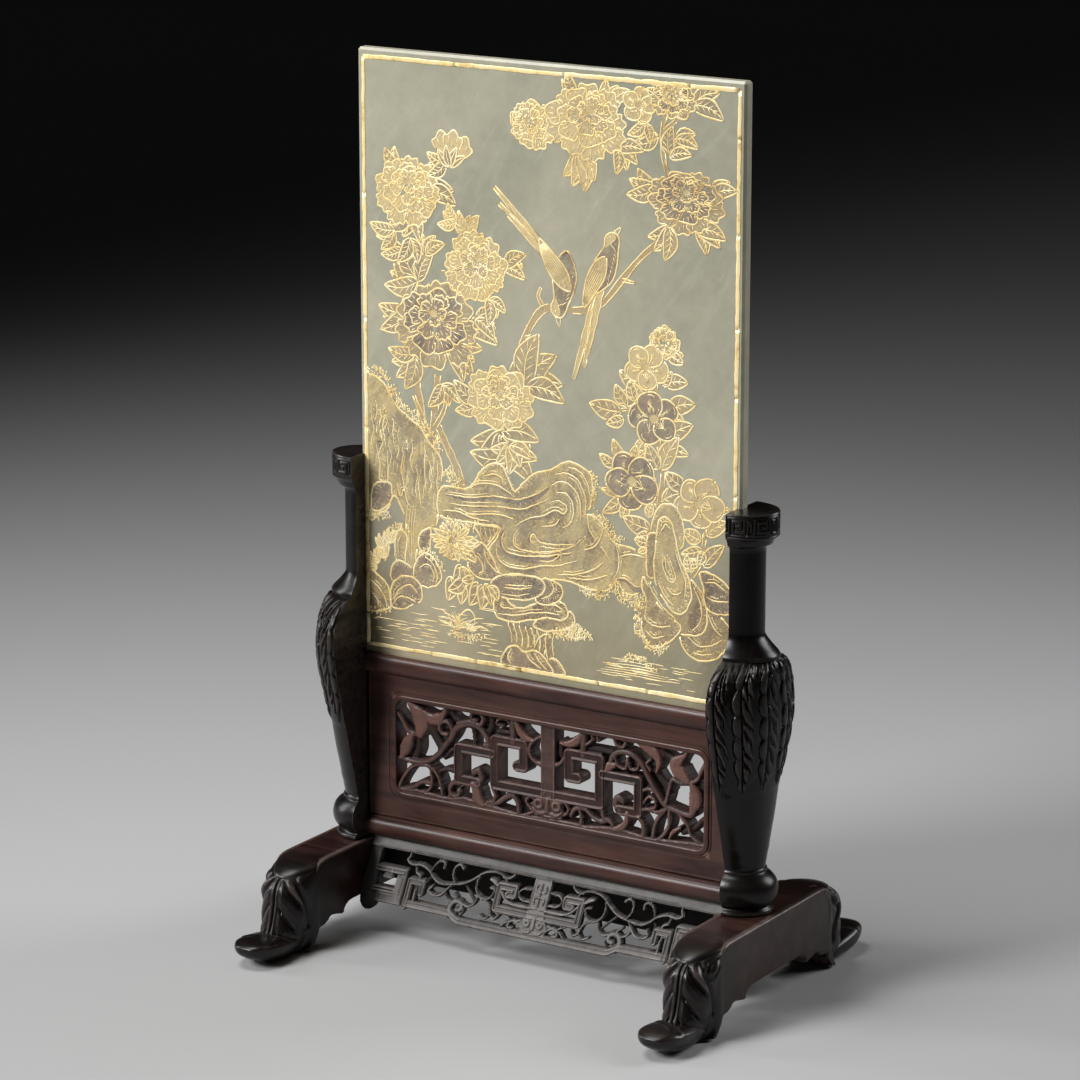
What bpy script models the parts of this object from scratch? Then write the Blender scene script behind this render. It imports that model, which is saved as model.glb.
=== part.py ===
import bpy
import bmesh
from math import cos, pi, radians, sin
from mathutils import Vector

# Table screen: a serpentine plaque held upright in a carved hardwood stand.
# Metres, +Z up. X runs along the screen, -Y is the front. The origin is on the floor,
# midway between the two feet.

# clearance between pieces that are not joined
GAP = 0.0003

# plaque
PLAQUE_WIDTH = 0.144
PLAQUE_THICKNESS = 0.0045
PLAQUE_TOP = 0.2966
PLAQUE_BOTTOM = 0.0926
PLAQUE_CHAMFER = 0.0008

# posts: half vases whose flat faces look at the plaque
FLAT_X = 0.0707
POST_SEGMENTS = 24
LEAVES = 6
BALL_LOW = 0.0322
BALL_HIGH = 0.0434
LEAF_RELIEF = 0.0008
LEAF_TOP = 0.1146
LEAF_TIP = 0.0745
LEAF_SPREAD = 0.0820
GROOVE_DEPTH = 0.0016
GROOVE_BOTTOM = 0.0920
GROOVE_TOP = 0.1700

# feet
FOOT_INNER_X = 0.0687
FOOT_OUTER_X = 0.0857
FOOT_TOP = 0.0300
ARCH_TOP = 0.0112
ARCH_HALF = 0.0196
BEAM_HALF = 0.0300
LEG_STEPS = 8
TOE_SIDES = 12
TOE_FLATTEN = 1.035

# rails and pierced panel
RAIL_HALF_THICKNESS = 0.0046
UPPER_RAIL_ROOT = 0.0033
LOWER_RAIL_ROOT = 0.0022
LOWER_RAIL_SWELL = 0.0004
BEAD_STEPS = 8
RAIL_TOP = 0.0946
RAIL_GROOVE_BOTTOM = 0.0923
UPPER_RAIL_BOTTOM = 0.0881
LOWER_RAIL_TOP = 0.0376
LOWER_RAIL_BOTTOM = 0.0309
PANEL_FRONT = -0.0018
WINDOW_HALF = 0.0593
WINDOW_TOP = 0.0793
WINDOW_BOTTOM = 0.0473
LIP_WIDTH = 0.0019
LIP_HEIGHT = 0.0006
LIP_CORNER = 0.0045
WINDOW_CORNER = 0.0030
PANEL_OVERLAP = 0.0020
FRET = 0.0036
FRET_SET_BACK = 0.0004
TOOL_OVERRUN = 0.0040

# apron: a pierced board that leans outwards below the lower rail, and a plain one behind it
APRON_TOP = 0.0306
APRON_TOP_Y = 0.0015
APRON_LEAN = 0.53
APRON_DEPTH = 0.0034
APRON_WINDOW_TOP = 0.0272
APRON_SEAM_X = 0.0515
APRON_END_X = 0.0684
BACK_BOARD_FOOT = 0.0123


def clear_scene():
    for item in list(bpy.data.objects):
        bpy.data.objects.remove(item, do_unlink=True)


def make_material(name, colour, roughness):
    material = bpy.data.materials.new(name)
    material.use_nodes = True
    shader = material.node_tree.nodes["Principled BSDF"]
    shader.inputs["Base Color"].default_value = (*colour, 1.0)
    shader.inputs["Roughness"].default_value = roughness
    shader.inputs["Metallic"].default_value = 0.0
    return material


def add_object(name, shape, material, parent=None):
    mesh = bpy.data.meshes.new(name)
    bmesh.ops.recalc_face_normals(shape, faces=shape.faces)
    shape.to_mesh(mesh)
    shape.free()
    item = bpy.data.objects.new(name, mesh)
    bpy.context.scene.collection.objects.link(item)
    item.parent = parent
    if material:
        mesh.materials.append(material)
    return item


def hide_tool(item):
    item.hide_render = True
    item.display_type = "WIRE"


def combine(target, tool, operation, use_self=False):
    hide_tool(tool)
    change = target.modifiers.new(operation.lower(), "BOOLEAN")
    change.operation = operation
    change.solver = "EXACT"
    change.object = tool
    change.use_self = use_self


def loft(shape, rings):
    """Closed skin through rings that all have the same number of points."""
    rows = [[shape.verts.new(point) for point in ring] for ring in rings]
    count = len(rows[0])
    for low, high in zip(rows, rows[1:]):
        for i in range(count):
            j = (i + 1) % count
            shape.faces.new((low[i], low[j], high[j], high[i]))
    shape.faces.new(list(reversed(rows[0])))
    shape.faces.new(rows[-1])


def prism(shape, outline, place, near, far):
    """Solid plate of a convex outline of (x, z) points between two depths."""
    loft(shape, [[place(x, z, depth) for x, z in outline] for depth in (near, far)])


def ribbon(shape, path, width, place, near, far, mirrored=False):
    """Flat bar of constant width along a path of (x, z) points."""
    points = [Vector((-x if mirrored else x, z)) for x, z in path]
    left, right = [], []
    for i, point in enumerate(points):
        before = (point - points[i - 1]).normalized() if i else None
        after = (points[i + 1] - point).normalized() if i < len(points) - 1 else None
        before = before or after
        after = after or before
        along = (before + after).normalized()
        side = Vector((-along.y, along.x))
        stretch = 1.0 / max(0.5, along.dot(after))
        left.append(point + side * (width / 2 * stretch))
        right.append(point - side * (width / 2 * stretch))
    rings = []
    for a, b in zip(left, right):
        ring = [place(a.x, a.y, near), place(b.x, b.y, near)]
        ring += [place(b.x, b.y, far), place(a.x, a.y, far)]
        rings.append(ring)
    loft(shape, rings)


def arc(centre_x, centre_z, radius, start, end, steps):
    """Points on a circle, angles in degrees from +X towards +Z."""
    points = []
    for i in range(steps + 1):
        angle = radians(start + (end - start) * i / steps)
        points.append((centre_x + radius * cos(angle), centre_z + radius * sin(angle)))
    return points


def mix(low, high, share):
    return low + (high - low) * share


# plaque: one slab with small chamfers
def build_plaque(material):
    shape = bmesh.new()
    height = PLAQUE_TOP - PLAQUE_BOTTOM
    bmesh.ops.create_cube(shape, size=1.0)
    bmesh.ops.scale(shape, vec=(PLAQUE_WIDTH, PLAQUE_THICKNESS, height), verts=shape.verts)
    bmesh.ops.bevel(shape, geom=shape.edges[:], offset=PLAQUE_CHAMFER, segments=1, affect="EDGES")
    plaque = add_object("serpentine_plaque", shape, material)
    plaque.location = (0, 0, (PLAQUE_TOP + PLAQUE_BOTTOM) / 2)


# Each level of the half vase: height, reach outwards from the flat, half width of the flat.
def post_levels():
    levels = [(0.0303, 0.0130, 0.0110), (0.0314, 0.0131, 0.0111), (0.0319, 0.0124, 0.0104)]
    for i in range(7):
        share = i / 6
        swell = sin(pi * (0.17 + 0.66 * share)) ** 0.7
        levels.append((mix(BALL_LOW, BALL_HIGH, share), 0.0139 * swell, 0.0115 * swell))
    levels += [(0.0438, 0.0098, 0.0083), (0.0445, 0.0098, 0.0083), (0.0449, 0.0093, 0.0078)]
    levels += [(0.0530, 0.0104, 0.0101), (0.0600, 0.0113, 0.0122), (0.0680, 0.0122, 0.0144)]
    levels += [(0.0745, 0.0129, 0.0163), (0.0790, 0.0138, 0.0175), (0.0840, 0.0146, 0.0189)]
    levels += [(0.0890, 0.0153, 0.0203), (0.0940, 0.0160, 0.0213), (0.0985, 0.0162, 0.0219)]
    levels += [(0.1030, 0.0156, 0.0220), (0.1070, 0.0152, 0.0212), (0.1105, 0.0150, 0.0192)]
    levels += [(0.1132, 0.0143, 0.0152), (LEAF_TOP, 0.0131, 0.0107)]
    levels += [(0.1150, 0.0136, 0.0110), (0.1182, 0.0109, 0.0092), (0.1218, 0.0082, 0.0074)]
    levels += [(0.1506, 0.0082, 0.0073), (0.1512, 0.0100, 0.0083), (0.1530, 0.0118, 0.0094)]
    levels += [(0.1537, 0.0118, 0.0094), (0.1540, 0.0126, 0.0098), (0.1617, 0.0126, 0.0098)]
    levels += [(0.1622, 0.0121, 0.0094)]
    return levels


def leaf_rise(step, height):
    """How far a leaf stands out of the body: a groove between leaves, a rib along each."""
    if height >= LEAF_TOP or height <= LEAF_TIP:
        return 0.0
    across = step % (POST_SEGMENTS // LEAVES)
    rise = (-0.5, 0.1, 0.5, 0.1)[across]
    if height < LEAF_SPREAD:
        rise = 0.5 if across == 2 else -0.3
    return LEAF_RELIEF * rise


def build_post(name, side, material, parent):
    shape = bmesh.new()
    rings = []
    for height, reach, half in post_levels():
        ring = []
        for step in range(POST_SEGMENTS + 1):
            angle = pi * step / POST_SEGMENTS - pi / 2
            out = 0.0 if step in (0, POST_SEGMENTS) else leaf_rise(step, height)
            ring.append((side * (reach + out) * cos(angle), (half + out) * sin(angle), height))
        rings.append(ring)
    loft(shape, rings)
    post = add_object(name, shape, material, parent)
    post.location = (side * FLAT_X, 0, 0)
    groove = bmesh.new()
    half = PLAQUE_THICKNESS / 2 + GAP
    bmesh.ops.create_cube(groove, size=1.0)
    bmesh.ops.scale(groove, vec=(2 * GROOVE_DEPTH, 2 * half, GROOVE_TOP - GROOVE_BOTTOM), verts=groove.verts)
    cutter = add_object(name + "_groove", groove, None, parent)
    cutter.location = (side * FLAT_X, 0, (GROOVE_TOP + GROOVE_BOTTOM) / 2)
    combine(post, cutter, "DIFFERENCE")


# feet: a beam between two carved legs, each with its own toe
def leg_ring(centre_x, half_x, back, shoulder, front, height, end):
    """Plan of a leg at one height: square behind, rounded in front."""
    ring = [(centre_x + half_x, end * back, height)]
    for i in range(LEG_STEPS + 1):
        angle = pi * i / LEG_STEPS
        across = centre_x + half_x * cos(angle)
        ring.append((across, end * (shoulder + (front - shoulder) * sin(angle)), height))
    ring.append((centre_x - half_x, end * back, height))
    return ring


def add_leg(shape, centre_x, end):
    half = (FOOT_OUTER_X - FOOT_INNER_X) / 2
    # height, half width, back, start of the rounding, front
    knee = [(0.0110, 0.0, 0.0240, 0.0270, 0.0330), (0.0255, 0.0, 0.0240, 0.0338, 0.0395)]
    knee += [(0.0266, 0.0, 0.0240, 0.0338, 0.0418), (0.0280, -0.0002, 0.0240, 0.0320, 0.0410)]
    knee += [(0.0293, -0.0005, 0.0240, 0.0302, 0.0382), (FOOT_TOP, -0.0012, 0.0240, 0.0280, 0.0345)]
    leaf = [(0.0014, -0.0030, 0.0400, 0.0450, 0.0530), (0.0040, -0.0012, 0.0355, 0.0425, 0.0530)]
    leaf += [(0.0066, -0.0004, 0.0310, 0.0408, 0.0520), (0.0079, 0.0, 0.0205, 0.0402, 0.0506)]
    leaf += [(0.0117, 0.0, ARCH_HALF, 0.0396, 0.0495), (0.0165, 0.0, ARCH_HALF, 0.0390, 0.0490)]
    leaf += [(0.0215, 0.0, ARCH_HALF, 0.0382, 0.0484), (0.0244, 0.0, ARCH_HALF, 0.0372, 0.0466)]
    leaf += [(0.0260, 0.0, ARCH_HALF, 0.0345, 0.0430)]
    for stack in (knee, leaf):
        rings = []
        for height, narrow, back, shoulder, front in stack:
            rings.append(leg_ring(centre_x, half + narrow, back, shoulder, front, height, end))
        loft(shape, rings)


def add_toe(shape, centre_x, end):
    """Flat oval toe: it rests on the floor behind and turns up at the tip."""
    # distance from the middle, half width, underside, top
    slices = [(0.0385, 0.0052, 0.0, 0.0040), (0.0430, 0.0072, 0.0, 0.0075)]
    slices += [(0.0480, 0.0085, 0.0, 0.0098), (0.0530, 0.0088, 0.0, 0.0109)]
    slices += [(0.0570, 0.0085, 0.0013, 0.0112), (0.0610, 0.0074, 0.0030, 0.0108)]
    slices += [(0.0640, 0.0054, 0.0047, 0.0098), (0.0656, 0.0028, 0.0062, 0.0085)]
    rings = []
    for reach, half, low, high in slices:
        middle = (low + high) / 2
        tall = (high - low) / 2
        ring = []
        for i in range(TOE_SIDES):
            angle = 2 * pi * (i + 0.5) / TOE_SIDES
            across = centre_x + half * cos(angle)
            up = max(-1.0, min(1.0, TOE_FLATTEN * sin(angle)))
            ring.append((across, end * reach, middle + tall * up))
        rings.append(ring)
    loft(shape, rings)


def build_foot(name, side, material, parent):
    centre = side * (FOOT_INNER_X + FOOT_OUTER_X) / 2
    half = (FOOT_OUTER_X - FOOT_INNER_X) / 2
    beam = bmesh.new()
    outline = [(-BEAM_HALF, ARCH_TOP), (BEAM_HALF, ARCH_TOP)]
    outline += [(BEAM_HALF, FOOT_TOP), (-BEAM_HALF, FOOT_TOP)]
    loft(beam, [[(centre + x, y, z) for y, z in outline] for x in (-half, half)])
    foot = add_object(name, beam, material, parent)
    ends = bmesh.new()
    for end in (-1, 1):
        add_leg(ends, centre, end)
        add_toe(ends, centre, end)
    tool = add_object(name + "_legs", ends, None, parent)
    combine(foot, tool, "UNION", use_self=True)


# rails: half-round mouldings on both faces
def rail_solid(section):
    shape = bmesh.new()
    end = FLAT_X - GAP
    loft(shape, [[(x, y, z) for y, z in section] for x in (-end, end)])
    return shape


def bead(low, high, root, crown):
    """Half-round moulding seen in section, from its lower to its upper edge."""
    middle = (low + high) / 2
    points = []
    for i in range(BEAD_STEPS + 1):
        angle = pi * i / BEAD_STEPS - pi / 2
        points.append((mix(root, crown, cos(angle)), middle + (high - low) / 2 * sin(angle)))
    return points


def build_upper_rail(material, parent):
    slot = PLAQUE_THICKNESS / 2 + GAP
    front = bead(UPPER_RAIL_BOTTOM, RAIL_TOP, UPPER_RAIL_ROOT, RAIL_HALF_THICKNESS)
    section = [(-y, z) for y, z in front]
    section += [(-slot, RAIL_TOP), (-slot, RAIL_GROOVE_BOTTOM)]
    section += [(slot, RAIL_GROOVE_BOTTOM), (slot, RAIL_TOP)]
    section += list(reversed(front))
    add_object("upper_rail", rail_solid(section), material, parent)


def build_lower_rail(material, parent):
    crown = RAIL_HALF_THICKNESS + LOWER_RAIL_SWELL
    front = bead(LOWER_RAIL_BOTTOM, LOWER_RAIL_TOP, LOWER_RAIL_ROOT, crown)
    section = [(-y, z) for y, z in front]
    section += list(reversed(front))
    add_object("lower_rail", rail_solid(section), material, parent)


# pierced panel: board, raised lip, window and fretwork
def on_panel(x, z, depth):
    return (x, PANEL_FRONT + depth, z)


def rounded_box(half, low, high, radius):
    points = arc(half - radius, low + radius, radius, -90, 0, 4)
    points += arc(half - radius, high - radius, radius, 0, 90, 4)
    points += arc(-half + radius, high - radius, radius, 90, 180, 4)
    points += arc(-half + radius, low + radius, radius, 180, 270, 4)
    return points


def panel_bars(shape, depth):
    """Fretwork of one half, repeated in mirror image."""
    big = [(0.0, 0.0556), (0.0205, 0.0556), (0.0205, 0.0711)]
    big += [(0.0083, 0.0711), (0.0083, 0.0638), (0.0122, 0.0638)]
    small = [(0.0210, 0.0662), (0.0345, 0.0662), (0.0345, 0.0552)]
    small += [(0.0266, 0.0552), (0.0266, 0.0598)]
    stem = [(0.0570, 0.0592), (0.0500, 0.0586), (0.0455, 0.0598), (0.0415, 0.0636), (0.0380, 0.0685)]
    stem += [(0.0355, 0.0725), (0.0310, 0.0746), (0.0265, 0.0738), (0.0235, 0.0705)]
    arch = [(0.0590, 0.0482), (0.0560, 0.0545), (0.0520, 0.0578), (0.0470, 0.0582)]
    arch += [(0.0430, 0.0560), (0.0410, 0.0510), (0.0394, 0.0463)]
    nest = [(0.0535, 0.0463), (0.0505, 0.0515), (0.0465, 0.0495), (0.0445, 0.0463)]
    long_leaf = [(0.0548, 0.0803), (0.0525, 0.0760), (0.0496, 0.0720), (0.0540, 0.0670), (0.0568, 0.0590)]
    side_stem = [(0.0606, 0.0740), (0.0575, 0.0705), (0.0543, 0.0668)]
    wide_leaf = [(0.0490, 0.0715), (0.0440, 0.0755), (0.0394, 0.0803)]
    eye = arc(0.0402, 0.0722, 0.0028, -40, 140, 5) + [(0.0420, 0.0765)]
    column = [(0.0135, 0.0715), (0.0135, 0.0803)]
    crest = [(0.0135, 0.0762), (0.0172, 0.0770), (0.0186, 0.0803)]
    scroll = [(0.0300, 0.0744), (0.0264, 0.0765), (0.0262, 0.0803)]
    low_curl = [(0.0345, 0.0545)] + arc(0.0358, 0.0515, 0.0022, 100, 250, 4) + [(0.0370, 0.0463)]
    vine = [(0.0245, 0.0463), (0.0200, 0.0490), (0.0160, 0.0520)]
    vine += [(0.0120, 0.0530), (0.0080, 0.0500), (0.0045, 0.0463)]
    stub = [(0.0205, 0.0545), (0.0218, 0.0512), (0.0196, 0.0488)]
    bud = [(0.0288, 0.0545), (0.0282, 0.0508), (0.0312, 0.0485), (0.0345, 0.0463)]
    bow = [(0.0, 0.0658), (0.0045, 0.0668), (0.0085, 0.0700)]
    bars = [(big, FRET), (small, 0.0034), (stem, 0.0020), (arch, 0.0018)]
    bars += [(nest, 0.0022), (long_leaf, 0.0034)]
    bars += [(side_stem, 0.0016), (wide_leaf, 0.0040), (eye, 0.0014), (column, 0.0026)]
    bars += [(crest, 0.0016), (scroll, 0.0018), (low_curl, 0.0016), (vine, 0.0018)]
    bars += [(stub, 0.0020), (bud, 0.0024), (bow, 0.0014)]
    for path, width in bars:
        for mirrored in (False, True):
            ribbon(shape, path, width, on_panel, FRET_SET_BACK, depth, mirrored)


def build_panel(material, parent):
    back = RAIL_HALF_THICKNESS - PANEL_FRONT
    end = FLAT_X - GAP
    low = LOWER_RAIL_TOP + GAP
    high = UPPER_RAIL_BOTTOM - GAP
    board = bmesh.new()
    prism(board, [(-end, low), (end, low), (end, high), (-end, high)], on_panel, 0.0, back)
    panel = add_object("pierced_panel", board, material, parent)
    lip = bmesh.new()
    lip_low = WINDOW_BOTTOM - LIP_WIDTH
    lip_high = WINDOW_TOP + LIP_WIDTH
    outer = rounded_box(WINDOW_HALF + LIP_WIDTH, lip_low, lip_high, LIP_CORNER)
    prism(lip, outer, on_panel, -LIP_HEIGHT, PANEL_OVERLAP)
    combine(panel, add_object("panel_lip", lip, None, parent), "UNION")
    window = bmesh.new()
    inner = rounded_box(WINDOW_HALF, WINDOW_BOTTOM, WINDOW_TOP, WINDOW_CORNER)
    prism(window, inner, on_panel, -TOOL_OVERRUN, back + TOOL_OVERRUN)
    combine(panel, add_object("panel_window", window, None, parent), "DIFFERENCE")
    frets = bmesh.new()
    panel_bars(frets, back - FRET_SET_BACK)
    middle = [(-0.0029, 0.0465), (0.0029, 0.0465), (0.0029, 0.0801), (-0.0029, 0.0801)]
    prism(frets, middle, on_panel, 0.0003, back - 0.0003)
    mask = [(-0.0070, 0.0548), (-0.0050, 0.0465), (0.0050, 0.0465), (0.0070, 0.0548)]
    prism(frets, mask, on_panel, -0.0002, back - 0.0006)
    combine(panel, add_object("panel_frets", frets, None, parent), "UNION", use_self=True)


# apron: a pierced board leaning outwards with a separate corner piece at each end, and a plain board behind
def on_apron(face):
    """Place a point on the leaning board: face is -1 for the front one, 1 for the back one."""
    def place(x, z, depth):
        out = APRON_TOP_Y + (APRON_TOP - z) * APRON_LEAN - depth
        return (x, face * max(out, GAP / 2), z)
    return place


def apron_bars(shape, place, depth):
    fret = [(0.0, 0.0172), (0.0152, 0.0172), (0.0152, 0.0226), (0.0098, 0.0226), (0.0098, 0.0200)]
    vine = [(0.0060, 0.0262), (0.0150, 0.0262), (0.0205, 0.0258), (0.0250, 0.0235), (0.0300, 0.0215)]
    vine += [(0.0360, 0.0202), (0.0400, 0.0212), (0.0440, 0.0236), (0.0500, 0.0240), (0.0515, 0.0274)]
    curls = [[(0.0400, 0.0212), (0.0415, 0.0240), (0.0385, 0.0274)]]
    curls.append([(0.0310, 0.0214), (0.0335, 0.0245), (0.0310, 0.0274)])
    curls.append([(0.0350, 0.0204), (0.0385, 0.0165), (0.0430, 0.0165), (0.0455, 0.0150)])
    curls.append([(0.0210, 0.0256), (0.0240, 0.0215), (0.0215, 0.0180), (0.0160, 0.0180)])
    curls.append([(0.0230, 0.0190), (0.0190, 0.0150), (0.0160, 0.0110)])
    curls.append([(0.0455, 0.0185), (0.0455, 0.0120)])
    curls.append([(0.0290, 0.0145), (0.0270, 0.0110)])
    end_fret = [(0.0442, 0.0190), (0.0500, 0.0190), (0.0500, 0.0118)]
    bars = [(fret, 0.0026), (vine, 0.0016), (end_fret, 0.0024)] + [(curl, 0.0016) for curl in curls]
    for path, width in bars:
        for mirrored in (False, True):
            ribbon(shape, path, width, place, 0.0, depth, mirrored)


def build_apron(name, face, material, parent):
    place = on_apron(face)
    strip = bmesh.new()
    outline = [(-APRON_END_X, APRON_WINDOW_TOP), (APRON_END_X, APRON_WINDOW_TOP)]
    outline += [(APRON_END_X, APRON_TOP), (-APRON_END_X, APRON_TOP)]
    prism(strip, outline, place, 0.0, APRON_DEPTH)
    apron = add_object(name, strip, material, parent)
    work = bmesh.new()
    apron_bars(work, place, APRON_DEPTH - 0.0004)
    seam = APRON_SEAM_X - GAP
    for side in (-1, 1):
        border = [(side * 0.0300, 0.0112), (side * seam, 0.0112)]
        border += [(side * seam, 0.0136), (side * 0.0300, 0.0136)]
        prism(work, border, place, 0.0, APRON_DEPTH)
    step = [(-0.0318, 0.0110), (-0.0280, 0.0092), (0.0280, 0.0092), (0.0318, 0.0110)]
    step += [(0.0318, 0.0134), (-0.0318, 0.0134)]
    prism(work, step, place, 0.0, APRON_DEPTH)
    brow = [(-0.0042, 0.0120), (0.0042, 0.0120), (0.0036, 0.0290), (-0.0036, 0.0290)]
    prism(work, brow, place, 0.0, APRON_DEPTH)
    mask = [(-0.0060, 0.0100), (0.0060, 0.0100), (0.0075, 0.0160), (-0.0075, 0.0160)]
    prism(work, mask, place, -0.0005, APRON_DEPTH)
    combine(apron, add_object(name + "_work", work, None, parent), "UNION", use_self=True)


def build_back_board(name, material, parent):
    """A plain unpierced board stands in the apron's place behind."""
    near_edge = APRON_TOP_Y + (APRON_TOP - BACK_BOARD_FOOT) * APRON_LEAN
    meets_at = APRON_TOP - (GAP / 2 + APRON_DEPTH - APRON_TOP_Y) / APRON_LEAN
    section = [(GAP / 2, APRON_TOP), (APRON_TOP_Y, APRON_TOP), (near_edge, BACK_BOARD_FOOT)]
    section += [(near_edge - APRON_DEPTH, BACK_BOARD_FOOT), (GAP / 2, meets_at)]
    board = bmesh.new()
    loft(board, [[(x, y, z) for y, z in section] for x in (-APRON_END_X, APRON_END_X)])
    add_object(name, board, material, parent)


def build_corner(name, face, side, material, parent):
    place = on_apron(face)
    shape = bmesh.new()
    outline = [(side * APRON_SEAM_X, 0.0109), (side * APRON_END_X, 0.0109), (side * APRON_END_X, 0.0222)]
    outline += [(side * 0.0555, 0.0222), (side * APRON_SEAM_X, 0.0200)]
    prism(shape, outline, place, 0.0, APRON_DEPTH)
    corner = add_object(name, shape, material, parent)
    window = bmesh.new()
    hole = [(side * 0.0558, 0.0140), (side * 0.0634, 0.0140)]
    hole += [(side * 0.0628, 0.0176), (side * 0.0558, 0.0182)]
    prism(window, hole, place, -TOOL_OVERRUN, APRON_DEPTH + TOOL_OVERRUN)
    combine(corner, add_object(name + "_window", window, None, parent), "DIFFERENCE")
    lobe = bmesh.new()
    drop = [(0.0612, 0.0125)] + arc(0.0648, 0.0114, 0.0033, 180, 360, 8) + [(0.0681, 0.0125)]
    prism(lobe, [(side * x, z) for x, z in drop], place, 0.0002, APRON_DEPTH - 0.0002)
    upright = [(side * 0.0640, 0.0200), (side * 0.0682, 0.0200)]
    upright += [(side * 0.0682, APRON_WINDOW_TOP - GAP), (side * 0.0640, APRON_WINDOW_TOP - GAP)]
    prism(lobe, upright, place, 0.0002, APRON_DEPTH - 0.0002)
    combine(corner, add_object(name + "_lobe", lobe, None, parent), "UNION")


def build_all():
    clear_scene()
    stone = make_material("serpentine", (0.42, 0.46, 0.36), 0.25)
    dark = make_material("dark_hardwood", (0.020, 0.014, 0.012), 0.32)
    red = make_material("red_brown_hardwood", (0.060, 0.024, 0.016), 0.38)
    worn = make_material("worn_hardwood", (0.050, 0.042, 0.038), 0.55)
    stand = bpy.data.objects.new("stand", None)
    bpy.context.scene.collection.objects.link(stand)
    build_plaque(stone)
    for word, side in (("left", -1), ("right", 1)):
        build_post("post_" + word, side, dark, stand)
        build_foot("foot_" + word, side, dark, stand)
    build_upper_rail(red, stand)
    build_lower_rail(red, stand)
    build_panel(red, stand)
    build_apron("apron_front", -1, worn, stand)
    for end, side in (("left", -1), ("right", 1)):
        build_corner("apron_corner_front_" + end, -1, side, worn, stand)
    build_back_board("apron_back", worn, stand)


build_all()
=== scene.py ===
import math
from functools import partial
import bpy
import numpy as np
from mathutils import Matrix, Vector


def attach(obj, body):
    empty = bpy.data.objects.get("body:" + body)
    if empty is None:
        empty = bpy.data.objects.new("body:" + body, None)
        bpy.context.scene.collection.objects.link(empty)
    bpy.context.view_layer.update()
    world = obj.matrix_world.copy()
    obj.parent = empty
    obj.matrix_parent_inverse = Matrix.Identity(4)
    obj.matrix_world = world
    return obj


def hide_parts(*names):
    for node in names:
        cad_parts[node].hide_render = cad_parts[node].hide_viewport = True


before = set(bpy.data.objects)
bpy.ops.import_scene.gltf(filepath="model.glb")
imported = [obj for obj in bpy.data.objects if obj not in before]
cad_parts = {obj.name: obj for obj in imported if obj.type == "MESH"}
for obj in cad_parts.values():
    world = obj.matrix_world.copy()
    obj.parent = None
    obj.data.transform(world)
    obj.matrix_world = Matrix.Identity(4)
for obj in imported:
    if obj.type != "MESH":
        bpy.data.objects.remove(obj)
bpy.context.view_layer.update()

mm = 0.001

# curves, fields and meshes that every piece uses


def pairs(points):
    # points may also be given as one run of numbers, x and height in turn
    p = np.array(points, float)
    return p.reshape(-1, 2) if p.ndim == 1 else p


def smoothPath(points, steps=6, closed=False):
    # a soft curve through a few given points (Catmull-Rom)
    p = pairs(points)
    if len(p) < 3 and not closed:
        t = np.linspace(0, 1, steps + 1)[:, None]
        return p[0] * (1 - t) + p[-1] * t
    if closed:
        p = np.vstack([p[-1], p, p[0], p[1]])
    else:
        p = np.vstack([2 * p[0] - p[1], p, 2 * p[-1] - p[-2]])
    out = []
    for i in range(1, len(p) - 2):
        a, b, c, d = p[i - 1], p[i], p[i + 1], p[i + 2]
        for k in range(steps):
            t = k / steps
            out.append(0.5 * (2 * b + (c - a) * t + (2 * a - 5 * b + 4 * c - d) * t * t
                              + (3 * b - a - 3 * c + d) * t ** 3))
    if not closed:
        out.append(p[-2])
    return np.array(out)


def pathSides(path):
    # unit direction and left-hand side at each point of a path
    d = np.gradient(path, axis=0)
    d = d / np.maximum(1e-9, np.hypot(d[:, 0], d[:, 1]))[:, None]
    return d, np.column_stack([-d[:, 1], d[:, 0]])


def around(x, z, r, a, squash=1.0):
    # a spot on a circle, which may be flattened
    return x + r * math.cos(a), z + r * math.sin(a) * squash


def arcPoints(cx, cz, radius, start, end, steps=8):
    return [around(cx, cz, radius, v) for v in np.radians(np.linspace(start, end, steps + 1))]


def nearPath(gx, gz, path, reach):
    # distance to a path, how far along it (0 to 1) and on which side, for grid points within reach
    x0, z0 = path.min(0) - reach
    x1, z1 = path.max(0) + reach
    pick = np.nonzero((gx >= x0) & (gx <= x1) & (gz >= z0) & (gz <= z1))[0]
    px, pz = gx[pick], gz[pick]
    best = np.full(len(pick), 1e9)
    along, side = np.zeros((2, len(pick)))
    seg = np.hypot(*(path[1:] - path[:-1]).T)
    start = np.concatenate([[0], np.cumsum(seg)])
    for i, length in enumerate(seg):
        if length < 1e-9:
            continue
        a, d = path[i], path[i + 1] - path[i]
        t = np.clip(((px - a[0]) * d[0] + (pz - a[1]) * d[1]) / length ** 2, 0, 1)
        dx, dz = px - a[0] - t * d[0], pz - a[1] - t * d[1]
        dist = np.hypot(dx, dz)
        closer = dist < best
        best = np.where(closer, dist, best)
        along = np.where(closer, (start[i] + t * length) / start[-1], along)
        side = np.where(closer, np.sign(d[0] * dz - d[1] * dx), side)
    return pick, best, along, side


def insidePolygon(px, pz, poly):
    hit = np.zeros(len(px), bool)
    for (a, b), (c, d) in zip(poly, np.roll(poly, -1, 0)):
        if b != d:
            hit ^= ((b > pz) != (d > pz)) & (px < (c - a) * (pz - b) / (d - b) + a)
    return hit


def ease(a, b, x):
    t = np.clip((x - a) / (b - a), 0, 1)
    return t * t * (3 - 2 * t)


def bell(x, width):
    # 1 at zero, falling off softly on both sides
    return np.exp(-(x / width) ** 2)


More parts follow.
